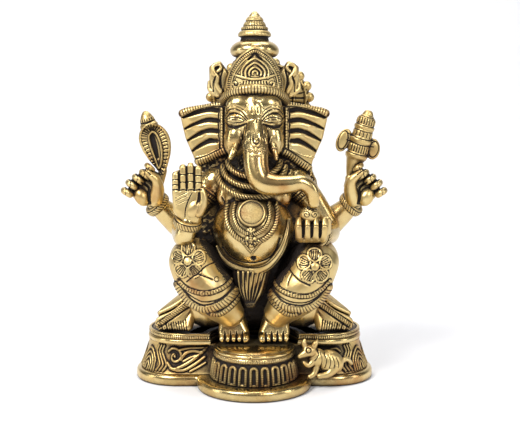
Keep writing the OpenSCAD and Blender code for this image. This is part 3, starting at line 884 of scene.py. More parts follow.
    def seat(self, shop: Workshop) -> None:
        """The seat plate: plain lower band, hatched upper band and a lip."""
        z0, z1 = self.seat_span
        profile = np.array([(1.5, z0), (0.5, z0 + 0.25), (0.05, z0 + 0.9), (0, z0 + 1.8), (0.15, z0 + 2.6), (0.7, z0 + 3.0),
                            (0.95, z0 + 3.15), (0.6, z0 + 3.35), (0.35, z0 + 3.9), (0.35, z0 + 4.6), (0.6, z0 + 5.0), (0.8, z0 + 5.1),
                            (0.5, z0 + 5.3), (0.45, z0 + 5.7), (0.8, z1), (1.6, z1), (2.0, z1 - 0.35), (4, z1 - 0.5), (7, z1 - 0.5),
                            (12, z1 - 0.5)])
        fine = np.column_stack([np.interp(np.linspace(0, len(profile) - 1, 46), np.arange(len(profile)), profile[:, k]) for k in (0, 1)])
        rows, run = self.wall_rows(self.seat_half_w, self.seat_r, fine, notch=self.drum_r + 0.3)
        last = rows[-1].mean(0)
        under = self.wall_rows(self.seat_half_w, self.seat_r, np.array([(7, z0)]), notch=self.drum_r + 0.3)[0]
        rows = under + rows
        item = lathe_rows("seat_plate", rows, [(0, self.slab_y + 8, z0), (0, self.slab_y + 8, last[2])])
        relief = Relief(item)
        height = relief.co[:, 2]
        band = (height > z0 + 3.4) & (height < z0 + 5.05)
        band[-2:] = False
        runs = np.zeros(len(relief.co))
        runs[:len(run) * len(rows)] = np.tile(run, len(rows))
        relief.phase = runs / 1.15
        relief.hatch = np.where(band, 0.9, 0.0)
        inset = np.zeros(len(relief.co))
        inset[len(run) * (len(rows) - 12):] = 1.0
        relief.stain_and_shade = np.maximum(relief.stain_and_shade, 0.18 * inset)
        shop.base(relief, ["seat_plate"], near_gain=3.0, far_gain=0.2)

    def revolve(self, name: str, profile: Line, count: int) -> tuple:
        """Turns a profile of radius and height round the drum's axis.

        Args:
            name: the piece's name.
            profile: radius and height of each ring.
            count: points round it.

        Returns:
            Its relief and the run round it from the front.
        """
        angles = np.linspace(0, TAU, count, endpoint=False) - math.pi / 2
        rows = [np.column_stack([r * np.cos(angles), self.drum_mid + r * np.sin(angles), np.full(count, z)]) for r, z in profile]
        tips = [(0, self.drum_mid, profile[0][1]), (0, self.drum_mid, profile[-1][1])]
        relief = Relief(lathe_rows(name, rows, tips))
        turn = np.arctan2(relief.co[:, 0], -(relief.co[:, 1] - self.drum_mid))
        return relief, turn

    def drum(self, shop: Workshop) -> None:
        """The drum with its ring of upright petals."""
        z0, z1 = self.drum_span
        rise = np.linspace(0, 1, 34)
        top = self.plate_r - 0.8
        profile = [(self.drum_r - 3, z0 + 0.05)] + [(self.drum_r + (top - self.drum_r) * t + 0.35 * math.sin(math.pi * t), z0 + (z1 - z0) * t) for t in rise]
        profile = np.array(profile + [(top - 4, z1)])
        relief, turn = self.revolve("footrest_drum", profile, 864)
        step = TAU / self.petals
        offset = (turn / step - np.round(turn / step)) * step * 21.0
        z = relief.co[:, 2]
        body = (z > z0 + 0.3) & (z < z1 - 0.3) & (np.hypot(relief.co[:, 0], relief.co[:, 1] - self.drum_mid) > top - 1)
        crown_z = z1 - 3.3
        dist = np.where(z > crown_z, np.hypot(offset, z - crown_z), np.abs(offset))
        rim = np.exp(-((dist - 1.55) / 0.6) ** 2)
        slot = np.clip((0.85 - dist) / 0.3, 0, 1) * (z > z0 + 1.1)
        gap = np.clip((dist - 2.2) / 0.25, 0, 1)
        relief.lift += np.where(body, 0.85 * rim - 0.7 * slot - 0.6 * gap, 0)
        relief.stain_and_shade = np.where(body, np.clip(1.1 * slot + 1.1 * gap, 0, 1.1), relief.stain_and_shade)
        along = np.where(z > crown_z, np.arctan2(offset, z - crown_z) * 1.75, z)
        relief.phase = along / 0.85
        relief.hatch = np.where(body & (np.abs(dist - 1.55) < 0.5), 0.6, 0)
        shop.base(relief, ["footrest_drum"], Finish.CARVED, near_gain=3.0, far_gain=0.4)

    def plate(self, shop: Workshop) -> None:
        """The footrest plate: hatched rim, plain ring and a low cushion."""
        z0, z1 = self.plate_span
        r = self.plate_r
        rim = [(r - 1.6, z0), (r - 0.5, z0 + 0.1), (r - 0.05, z0 + 0.6), (r, z0 + 1.3), (r - 0.15, z0 + 2.0), (r - 0.6, z0 + 2.35),
               (r - 0.75, z0 + 2.5), (r - 0.4, z0 + 2.7), (r - 0.15, z0 + 3.2), (r - 0.2, z0 + 3.8), (r - 0.7, z0 + 4.25),
               (r - 1.3, z0 + 4.3), (r - 1.5, z0 + 4.25)]
        swell = [(r - 1.5 - k, z0 + 4.3 + (z1 - z0 - 4.4) * (1 - (1 - k / (r - 1.5)) ** 3.2) ** 0.62) for k in np.linspace(0.15, r - 3.5, 26)]
        profile = np.array(rim + swell)
        relief, turn = self.revolve("footrest_plate", profile, 620)
        z = relief.co[:, 2]
        radius = np.hypot(relief.co[:, 0], relief.co[:, 1] - self.drum_mid)
        relief.phase = turn * r / 1.2 + 0.5
        relief.hatch = np.where((z > z0 + 0.3) & (z < z0 + 2.3) & (radius > r - 0.7), 0.9, 0)
        hole = np.hypot(relief.co[:, 0] + 1.6, z - (z0 + 3.4))
        drilled = (hole < 0.9) & (relief.co[:, 1] < self.drum_mid)
        relief.stain_and_shade = np.where(drilled, np.clip(1.6 - hole * 1.8, 0, 1), relief.stain_and_shade)
        relief.lift -= np.where(drilled, 0.5 * np.clip(1 - hole / 0.7, 0, 1), 0)
        shop.base(relief, ["footrest_plate"], near_gain=3.0, far_gain=0.1)

    def build(self, shop: Workshop) -> None:
        """Builds the whole base."""
        self.slab(shop)
        self.wall(shop)
        self.seat(shop)
        self.drum(shop)
        self.plate(shop)


def pad(points: Sequence[Point], segments: int = 20) -> bpy.types.Object:
    """Stretches a skin over balls.

    Args:
        points: x, y, z and radius of each ball, in mm.
        segments: facets round each ball.

    Returns:
        The rounded plate as a closed mesh object.
    """
    balls = [ball(p[:3], (p[3],) * 3, segments=segments) for p in points]
    deselect()
    for item in balls:
        item.select_set(True)
    bpy.context.view_layer.objects.active = balls[0]
    bpy.ops.object.join()
    bpy.ops.object.mode_set(mode="EDIT")
    bpy.ops.mesh.select_all(action="SELECT")
    bpy.ops.mesh.convex_hull()
    bpy.ops.object.mode_set(mode="OBJECT")
    return balls[0]


def turned(centre: Point, profile: Sequence[Point], tilt: float = 0.0, count: int = 96,
           lobes: int = 0, lobe: float = 0.0) -> bpy.types.Object:
    """Turns a profile round an upright or leaning axis.

    Args:
        centre: the foot of the axis, in mm.
        profile: radius and height of each ring.
        tilt: lean towards +X, in degrees.
        count: points round it.
        lobes: how many flutes run round it.
        lobe: the depth of the flutes, as a share of the radius.

    Returns:
        The closed solid.
    """
    angles = np.linspace(0, TAU, count, endpoint=False)
    swell = 1 + lobe * np.abs(np.cos(angles * lobes / 2)) if lobes else np.ones(count)
    rows = [np.column_stack([r * swell * np.cos(angles), r * swell * np.sin(angles), np.full(count, z)]) for r, z in profile]
    tips = [np.array((0.0, 0.0, profile[0][1])), np.array((0.0, 0.0, profile[-1][1]))]
    lean = np.array(Matrix.Rotation(math.radians(tilt), 3, "Y"))
    rows = [r @ lean.T + np.asarray(centre) for r in rows]
    return lathe_rows("turned", rows, [t @ lean.T + np.asarray(centre) for t in tips])


def mirrored(points: Sequence[Point], side: int) -> list:
    """Gives points drawn for the deity's right side to the chosen side.

    Args:
        points: x first, for side -1.
        side: -1 for the deity's right, 1 for its left.

    Returns:
        The points.
    """
    return [(-side * p[0], *p[1:]) for p in points]


# ---------------------------------------------------------------- mouse


@dataclass
class Mouse:
    """The mouse at the deity's left, looking up with its forepaws raised."""

    grain: float = 0.28

    def build(self, shop: Workshop) -> None:
        """Builds the mouse."""
        parts = [
            ball((38.4, -11, 13.4), (7.4, 4.8, 6.2), (0, 22, 0)),
            ball((32, -12.3, 15.8), (5.0, 3.9, 5.0), (0, 30, 0)),
            ball((28.2, -13.3, 19.8), (4.0, 3.0, 3.1), (0, 10, 0)),
            limb([(27, -14, 19.3, 2.5), (24.6, -14.6, 18.3, 1.8), (23.0, -15, 17.4, 1.2)]),
            limb([(25.8, -13.2, 21.8, 1.5), (25.2, -13.2, 24, 1.3), (25.6, -13.2, 25.6, 0.7)]),
            limb([(30, -13.2, 21.6, 1.6), (31, -13.2, 23.8, 1.4), (31.8, -13, 25.2, 0.7)]),
            limb([(30, -14, 14.8, 1.9), (27.6, -15, 12.8, 1.4), (25.2, -15.4, 14.4, 1)]),
            limb([(41, -12.5, 11.6, 3.3), (37.6, -14.4, 8.2, 2), (33, -15.2, 7.2, 1.5)]),
            limb([(31.6, -13, 12, 2.2), (30.4, -14.6, 8.4, 1.5), (28, -15.4, 7, 1.2)]),
            limb([(43, -9.4, 12, 1.5), (47.4, -7.4, 14, 1.2), (50, -5, 11, 1)]),
        ]
        relief = Relief(fuse("mouse", parts, self.grain, 2))
        eye = (27.4, 20.8)
        relief.disc(eye, 0.95, 0.35)
        relief.groove([(eye[0] + 1.35 * math.cos(a), eye[1] + 1.35 * math.sin(a)) for a in np.linspace(0, TAU, 10)[:-1]], 0.3, 0.3, closed=True)
        for k in range(5):
            relief.groove([(33.4 + 2.1 * k, 19.6 - 0.8 * k), (34.4 + 2.1 * k, 15.5 - 0.5 * k), (33.4 + 2.3 * k, 11.5)], 0.28, 0.25, stain_and_shade=0.6)
        relief.groove([(31.6, 21), (32.6, 18.4), (30.6, 15.4)], 0.35, 0.4)
        shop.base(relief, ["mouse"], Finish.SATIN, near_gain=4.0, far_gain=0.6)


# ---------------------------------------------------------------- body


@dataclass
class Body:
    """Torso, waist roll and the ornaments on the chest."""

    belly: tuple = (-0.3, -4.0, 80.5)
    belly_r: tuple = (20.5, 18.5, 19.5)

    def belly_y(self, x: float, z: float, lift: float = 0.0) -> float:
        """Finds the belly's front over a point of the front plane.

        Args:
            x: the point's X.
            z: its Z.
            lift: how far out of the belly, in mm.

        Returns:
            Its Y.
        """
        u = (x - self.belly[0]) / (self.belly_r[0] + lift)
        w = (z - self.belly[2]) / (self.belly_r[2] + lift)
        return self.belly[1] - (self.belly_r[1] + lift) * math.sqrt(max(0.02, 1 - u * u - w * w))

    def arc(self, cx: float, cz: float, rx: float, rz: float, start: float, end: float, count: int, r: float, lift: float) -> list:
        """Lays a cord on the belly along an upright ellipse.

        Args:
            cx: the ellipse's centre X.
            cz: its centre Z.
            rx: its half width.
            rz: its half height.
            start: first angle, in degrees.
            end: last angle.
            count: stretches.
            r: the cord's radius.
            lift: how far its axis stands off the belly.

        Returns:
            The cord's stations.
        """
        line = []
        for a in np.radians(np.linspace(start, end, count + 1)):
            x, z = cx + rx * math.cos(a), cz + rz * math.sin(a)
            line.append((x, self.belly_y(x, z, lift), z, r))
        return line

    def torso(self, shop: Workshop) -> None:
        """Belly, chest, shoulders and hips in one skin."""
        parts = [
            ball(self.belly, self.belly_r, segments=48),
            ball((0, 3, 100), (20, 12, 15), segments=40),
            pad([(-11, 9, 40, 13), (11, 9, 40, 13), (-8, 8, 70, 13), (8, 8, 70, 13)]),
            ball((0, 12, 46), (25, 14, 20)),
            limb([(-18, 6, 104, 8), (0, 5, 106, 11), (18, 6, 104, 8)], 28),
            limb([(0, 5, 100, 12), (0, 4, 112, 10), (0, 3, 118, 9)], 28),
            ball((-10, -3.5, 98), (9, 7, 9), segments=24),
            ball((10, -3.5, 98), (9, 7, 9), segments=24),
            pad([(-31, 6, 74, 5), (31, 6, 74, 5), (-33, 9, 92, 3.5), (33, 9, 92, 3.5), (-27, 8, 111, 2.6), (27, 8, 111, 2.6)]),
            pad([(-27, 4, 52, 6), (27, 4, 52, 6), (-29, 4, 72, 5), (29, 4, 72, 5)]),
            pad([(-16, 6, 116, 4), (16, 6, 116, 4), (-25.5, 8, 113.6, 2.6), (25.5, 8, 113.6, 2.6), (-30, 9, 104, 2.6), (30, 9, 104, 2.6)]),
        ]
        relief = Relief(fuse("torso", parts, 0.54, 3))
        relief.groove([(-15.5, 73), (-12, 68.4), (-6, 65.8), (0, 65.4), (6, 67.2), (10.5, 71), (13, 78)], 0.7, 0.7, stain_and_shade=0.75)
        relief.disc((-0.2, 68.4), 1.3, -0.8)
        x, z = relief.co[:, 0], relief.co[:, 2]
        off_belly = np.sqrt(((x + 0.3) / 20.5) ** 2 + ((z - 80.5) / 19.5) ** 2)
        front = np.clip((9 - relief.co[:, 1]) / 3, 0, 1)
        sides = np.clip((off_belly - 0.93) / 0.1, 0, 1) * np.clip((np.abs(x) - 9) / 4 + (70 - z) / 6, 0, 1)
        neck = np.clip((z - 101) / 4, 0, 1)
        relief.rough(0.22, 1.5, np.maximum(sides, neck) * front, 1.0)
        # Painted shade: the front below z 61, behind the pleats, is darkened almost to black
        shade_behind_pleats = np.clip((61 - z) / 4, 0, 1) * front
        relief.stain_and_shade = np.maximum(relief.stain_and_shade, 0.35 * np.maximum(sides, neck) * front + 0.9 * shade_behind_pleats)
        for k in range(3):
            relief.groove([(-16 + k, 97.5 - 5.6 * k), (-13.5, 93 - 5 * k)], 0.5, 0.4)
        spine = relief.facing((0, 1, 0), 0.3)
        relief.groove([(0, 104), (0, 84), (0, 62)], 1.2, 1.1, where=spine, stain_and_shade=0.5)
        for s in (-1, 1):
            relief.groove([(s * 4, 99), (s * 11, 95), (s * 15, 87)], 0.8, 0.5, where=spine, stain_and_shade=0.4)
        shop.figure(relief, ["torso"], near_gain=4.0, far_gain=0.5)

    def ornaments(self, shop: Workshop) -> None:
        """Waist roll, chest disc, chains with florets, and the neck ropes."""
        flat = [(-18.4, 73, 0.9), (-15.6, 67.4, 1.9), (-10.5, 63.4, 2.4), (-1.4, 61, 2.75), (7, 64, 2.4), (13, 71.5, 1.9), (16.4, 80, 1.3), (17.4, 87, 0.8)]
        line = [(x, self.belly_y(x, z, 1.0), z, r) for x, z, r in flat]
        relief = Relief(fuse("waist_roll", [limb(line, 28, 12)], 0.28, 1))
        for gap in (-0.5, 0.6):
            shifted = [(x + gap * r * (x + 0.5) / 19.5, z + gap * r * (z - 82) / 19) for x, z, r in flat]
            relief.groove(shifted, 0.3, 0.3, stain_and_shade=0.6)
        shop.figure(relief, ["waist_roll"], Finish.SATIN, near_gain=3.0, far_gain=0.3)

        y = self.belly_y(-1, 91, 1.4)
        dome = [(1.0, -3.2), (6.6, -3.0), (6.75, 0.4), (6.5, 1.0), (6.0, 1.1), (5.75, 0.75), (5.55, 0.6), (4.5, 0.66), (2.5, 0.72), (0.4, 0.75)]
        rings = np.array(smooth_line(dome, 3))
        angles = np.linspace(0, TAU, 96, endpoint=False)
        lean = np.array(Matrix.Rotation(math.radians(66), 3, "X"))
        middle = np.array((-1.0, y, 91.0))
        rows = [np.column_stack([r * np.cos(angles), r * np.sin(angles), np.full(96, h)]) @ lean.T + middle for r, h in rings]
        tips = [np.array((0, 0, rings[0][1])) @ lean.T + middle, np.array((0, 0, rings[-1][1])) @ lean.T + middle]
        relief = Relief(lathe_rows("chest_disc", rows, tips))
        relief.stain_and_shade += 0.42
        shop.figure(relief, ["chest_disc"], Finish.SATIN, near_gain=2.0, far_gain=0.1)

        outer = self.arc(-1, 90, 12.6, 13.2, 158, 382, 12, 1.35, 0.5)
        inner = self.arc(-1, 91, 8.9, 10.0, 155, 385, 12, 1.1, 0.6)
        parts = [limb(outer, 16, 10), limb(inner, 16, 10)]
        spots = ((82.2, 2.5), (77.6, 3.2))
        for z, r in spots:
            parts.append(ball((-1.4, self.belly_y(-1.4, z, 0.3), z), (r, 1.5, r)))
        parts.append(pad([(-5.6, self.belly_y(-5.6, 77.6, 0.2), 77.4, 1.2), (3.2, self.belly_y(3.2, 77.6, 0.2), 77.4, 1.2),
                          (-1.0, self.belly_y(-1, 71.4, 0.2), 71.6, 0.9)]))
        relief = Relief(fuse("pendant_chain", parts, 0.24, 1))
        where = relief.facing(least=-0.2)
        for cord, pitch in ((outer, 1.3), (inner, 1.1)):
            relief.ridge([(p[0], p[2]) for p in cord], 1.5, 0.0, where=where, pitch=pitch, slant=0.5, edge=0.0)
        for z, r in spots:
            self.floret(relief, (-1.4, z), r)
        relief.ridge([(-5.8, 77.6), (-3.4, 74), (-1, 71.2)], 0.7, 0.25, pitch=0.8)
        relief.ridge([(3.4, 77.6), (1.2, 74), (-1, 71.2)], 0.7, 0.25, pitch=0.8)
        shop.figure(relief, ["pendant_chain"], Finish.SATIN, near_gain=3.0, far_gain=0.8)

        parts, lines = [], []
        for k in range(3):
            line = []
            for a in np.radians(np.linspace(180, 360, 9)):
                r = 13 + 2.6 * k
                line.append((r * math.cos(a), -3 + (8 + 2.4 * k) * math.sin(a), 115 - 2.6 * k + (7 + 2.4 * k) * math.sin(a), 1.55))
            lines.append(line)
            parts.append(limb(line, 20, 10))
        parts.append(ball((-7.4, -12.6, 97.6), (2.1, 2.0, 2.1)))
        relief = Relief(fuse("neck_ropes", parts, 0.29, 1))
        where = relief.facing(least=-0.3)
        for line in lines:
            relief.ridge([(p[0], p[2]) for p in line], 1.5, 0.0, where=where, pitch=1.5, slant=0.8, edge=0.0)
        shop.figure(relief, ["neck_ropes"], Finish.CARVED, near_gain=4.0, far_gain=1.2)

    def floret(self, relief: Relief, centre: Point, radius: float) -> None:
        """Chases a small flower: a boss and six petals.

        Args:
            relief: the piece.
            centre: the flower's middle on the front map.
            radius: its radius, in mm.
        """
        relief.disc(centre, radius * 0.34, 0.4)
        for a in np.arange(6) * TAU / 6:
            way = np.array((math.cos(a), math.sin(a)))
            side = np.array((-way[1], way[0]))
            middle = np.array(centre)
            relief.groove([middle + way * radius * 0.5, middle + way * radius * 0.98 + side * radius * 0.0], radius * 0.1, 0.25)

    def build(self, shop: Workshop) -> None:
        """Builds the torso and what it wears."""
        self.torso(shop)
        self.ornaments(shop)


@dataclass
class Cloth:
    """The pleated cloth between the legs and the fans at the hips."""

    def build(self, shop: Workshop) -> None:
        """Builds the three cloth pieces."""
        parts = [pad([(-8, -8, 60, 3), (5.6, -8, 60, 3), (-7, -9, 52, 2.6), (4, -9, 52, 2.6), (-4, -8, 43, 2), (-1, -8, 43, 2)])]
        for k in range(6):
            parts.append(limb([(-8 + 2.6 * k, -12.4, 60, 1.4), (-6.6 + 2 * k, -12.8, 52, 1.3), (-3.8 + 0.6 * k, -11, 43, 1)]))
        relief = Relief(fuse("dhoti_front", parts, 0.28, 2))
        for k in range(7):
            relief.groove([(-9 + 2.5 * k, 62), (-9 + 2.2 * k, 57), (-8 + 1.7 * k, 51), (-5.4 + 0.9 * k, 45)], 0.5, 0.8, where=relief.facing(least=-0.2), stain_and_shade=1.2)
        relief.stain_and_shade = np.maximum(relief.stain_and_shade, np.clip((49 - relief.co[:, 2]) / 5, 0, 0.7))
        shop.figure(relief, ["dhoti_front"], Finish.CARVED, near_gain=5.0, far_gain=1.0)
        for side, name in ((-1, "right"), (1, "left")):
            fan = [(-30, 8, 46, 3), (-34, 14, 45, 3), (-47.6, 6, 36, 2.2), (-48, 2, 29.4, 2.4), (-48, 17, 29.4, 2.4), (-34, -1, 29.6, 2.4)]
            parts = [pad(mirrored(fan, side))]
            for k in range(7):
                parts.append(limb(mirrored([(-32 - 0.3 * k, 5 + 1.5 * k, 46.6, 1.2), (-41, 2.4 + 2 * k, 40.4, 1.4),
                                            (-49, 2.6 + 2.2 * k, 36.2 - 0.9 * k, 1.4)], side), 16))
            for k in range(6):
                parts.append(limb(mirrored([(-33, 1.5, 44 - 1.6 * k, 1.2), (-41 + 0.9 * k, -0.4, 37.4 - 1.1 * k, 1.3), (-49.4 + 2.6 * k, -0.6, 33.4 - 0.8 * k, 1.3), (-48.8 + 2.6 * k, -1.0, 29.4, 1.3)], side), 16))
            relief = Relief(fuse(f"sash_tail_{name}", parts, 0.38, 2))
            reach = relief.facing(least=0.05)
            front = mirrored([(-33, 43.5), (-41, 38.2), (-50, 32)], side)
            relief.groove(front, 0.5, 0.6, where=reach)
            relief.groove([(x, z - 3.4) for x, z in front], 0.45, 0.5, where=reach)
            relief.ridge([(x + side * 0.4, z - 1.6) for x, z in front], 1.2, 0.4, where=reach, pitch=1.2, slant=0.4, edge=0.8)
            for k in range(12):
                x = -34.5 - 1.25 * k
                relief.groove(mirrored([(x, 28), (x - 0.9, 33.5 - 0.25 * k)], side), 0.26, 0.3, where=reach)
            shop.figure(relief, [f"sash_tail_{name}"], Finish.SATIN, near_gain=5.0, far_gain=1.0)


@dataclass
class Legs:
    """Crossed legs with knee flowers and patterned hems, and the feet."""

    def knee_flower(self, relief: Relief, centre: Point, radius: float) -> None:
        """Chases a five-petalled flower with veined petals.

        Args:
            relief: the leg.
            centre: the flower's middle on the front map.
            radius: its outer radius, in mm.
        """
        middle = np.array(centre)
        where = relief.facing(least=-0.05)
        for k in range(5):
            a = math.radians(90 + 72 * k)
            way, side = np.array((math.cos(a), math.sin(a))), np.array((-math.sin(a), math.cos(a)))
            loop = [middle + way * radius * t + side * radius * w for t, w in
                    ((0.3, 0.1), (0.55, 0.36), (0.82, 0.38), (1.0, 0.16), (1.0, -0.16), (0.82, -0.38), (0.55, -0.36), (0.3, -0.1))]
            relief.ridge(loop, 0.5, 0.5, where=where, closed=True, edge=1.2)
            for w in (-0.2, -0.07, 0.07, 0.2):
                relief.groove([middle + way * radius * 0.4 + side * radius * w * 0.6, middle + way * radius * 0.86 + side * radius * w], 0.26, 0.35, where=where)
        relief.disc(centre, radius * 0.25, 0.9, where=where, edge=1.2)

    def build(self, shop: Workshop) -> None:
        """Builds both legs and both feet."""
        line = [(-15, 12, 42, 14.5), (-24, 0, 56, 13.5), (-31, -13, 66.5, 11.5), (-26.5, -16, 57, 12), (-20.6, -15.5, 50, 12.0), (-12.4, -11.5, 39.5, 7.6)]
        thigh = [(-15, 12, 42, 14), (-25, 8, 39, 11.5)]
        for side, name in ((-1, "right"), (1, "left")):
            relief = Relief(fuse(f"leg_{name}", [limb(mirrored(line, side), 40, 8), limb(mirrored(thigh, side), 32)], 0.45, 3))
            where = relief.facing(least=0.0)
            flower = (-32.0, 68.0) if side < 0 else (29.6, 65.6)
            self.knee_flower(relief, flower, 8.2)
            a, b = np.array((side * 33.0, 67.5)), np.array((side * 15.5, 42.0))
            way = (b - a) / np.linalg.norm(b - a)
            gap = relief.front - a
            off = side * (gap[:, 0] * way[1] - gap[:, 1] * way[0])
            inner = np.clip((np.abs(off) - 9.6) / 1.2, 0, 1) * (relief.front[:, 0] * side < 27) * (relief.co[:, 2] > 40) * relief.facing(least=-0.3)
            relief.stain_and_shade = np.maximum(relief.stain_and_shade, 1.1 * inner)
            relief.rough(0.14, 1.2, inner, 0.4)
            if side < 0:
                relief.ridge([(-36.5, 58), (-31.9, 54.6), (-23.7, 52.8), (-15, 55), (-9.5, 59)], 1.0, 0.8, where=where, pitch=1.3, edge=1.1)
                relief.ridge([(-38, 55), (-34.8, 51), (-30.5, 46.8), (-23.8, 44.4), (-14.5, 47.6), (-8, 53)], 2.1, 1.3, where=where, pitch=1.45, slant=0.2, edge=1.1)
                relief.groove([(-37, 57), (-33, 52.8), (-28, 49.6), (-23.6, 48.4), (-16, 50), (-9, 55.4)], 0.35, 0.4, where=where)
                relief.groove([(-32.5, 58.2), (-30, 60.4), (-27.1, 62.2), (-23.2, 65.6), (-18, 67)], 0.4, 0.4, where=where)
                relief.groove([(-27.1, 62.2), (-23, 60.6), (-20, 59.4)], 0.35, 0.35, where=where)
                relief.disc((-18.1, 59.2), 1.0, 0.6, where=where)
            else:
                relief.ridge([(8, 60), (9.8, 57), (12.8, 53.9), (20.1, 51.6), (27.4, 51.6), (33.5, 54.7), (37, 58)], 1.0, 0.8, where=where, pitch=1.3, edge=1.1)
                relief.ridge([(6, 54), (9.4, 49.4), (15.2, 45.4), (25.0, 44.6), (32.7, 48.4), (37, 54)], 2.1, 1.3, where=where, pitch=1.45, slant=0.2, edge=1.1)
                relief.groove([(7.5, 56), (11, 51.6), (17.5, 48.4), (25, 48), (31.5, 51), (36.4, 56.5)], 0.35, 0.4, where=where)
                relief.groove([(15, 66), (18.6, 62), (22, 59), (27, 56.6)], 0.4, 0.4, where=where)
                relief.groove([(18.6, 62), (17, 58.6), (16.4, 56)], 0.35, 0.35, where=where)
            relief.ridge(mirrored([(-21.4, 42), (-17.5, 41.5), (-13, 44), (-7.5, 48.8)], side), 1.4, 1.0, where=where, pitch=1.3, edge=1.1)
            shop.figure(relief, [f"leg_{name}"], Finish.SATIN, near_gain=4.0, far_gain=0.5)
            self.foot(shop, side, name)

    def foot(self, shop: Workshop, side: int, name: str) -> None:
        """Builds a foot: instep and five toes.

        Args:
            shop: the workshop.
            side: -1 for the deity's right, 1 for its left.
            name: "right" or "left".
        """
        parts = [pad(mirrored([(-11.6, -4, 38, 6.2), (-5.2, -9.4, 29.2, 2.8), (-15.4, -8.6, 28.8, 2.8), (-8.4, -8, 31.6, 3.6), (-13, -7.6, 31, 3.6), (-10.4, 2, 30, 5)], side))]
        for k in range(5):
            x, r = -4.3 - 2.95 * k, 2.1 if k == 0 else 1.6
            parts.append(limb(mirrored([(x, -9.6, 28.4, r), (x, -12.2 + 0.45 * k, 27.3, r), (x, -13.6 + 0.5 * k, 26.4 - 0.1 * k, r - 0.1)], side)))
        relief = Relief(fuse(f"foot_{name}", parts, 0.3, 2))
        where = relief.facing(least=-0.4)
        for k in range(4):
            x = -4.3 - 2.95 * (k + 0.55)
            relief.groove(mirrored([(x, 24, 1.2), (x, 27.2, 1), (x, 30.0, 0.5)], side), 0.42, 0.7, where=where, stain_and_shade=1.2)
        shop.figure(relief, [f"foot_{name}"], near_gain=3.0, far_gain=0.6)


# ---------------------------------------------------------------- arms


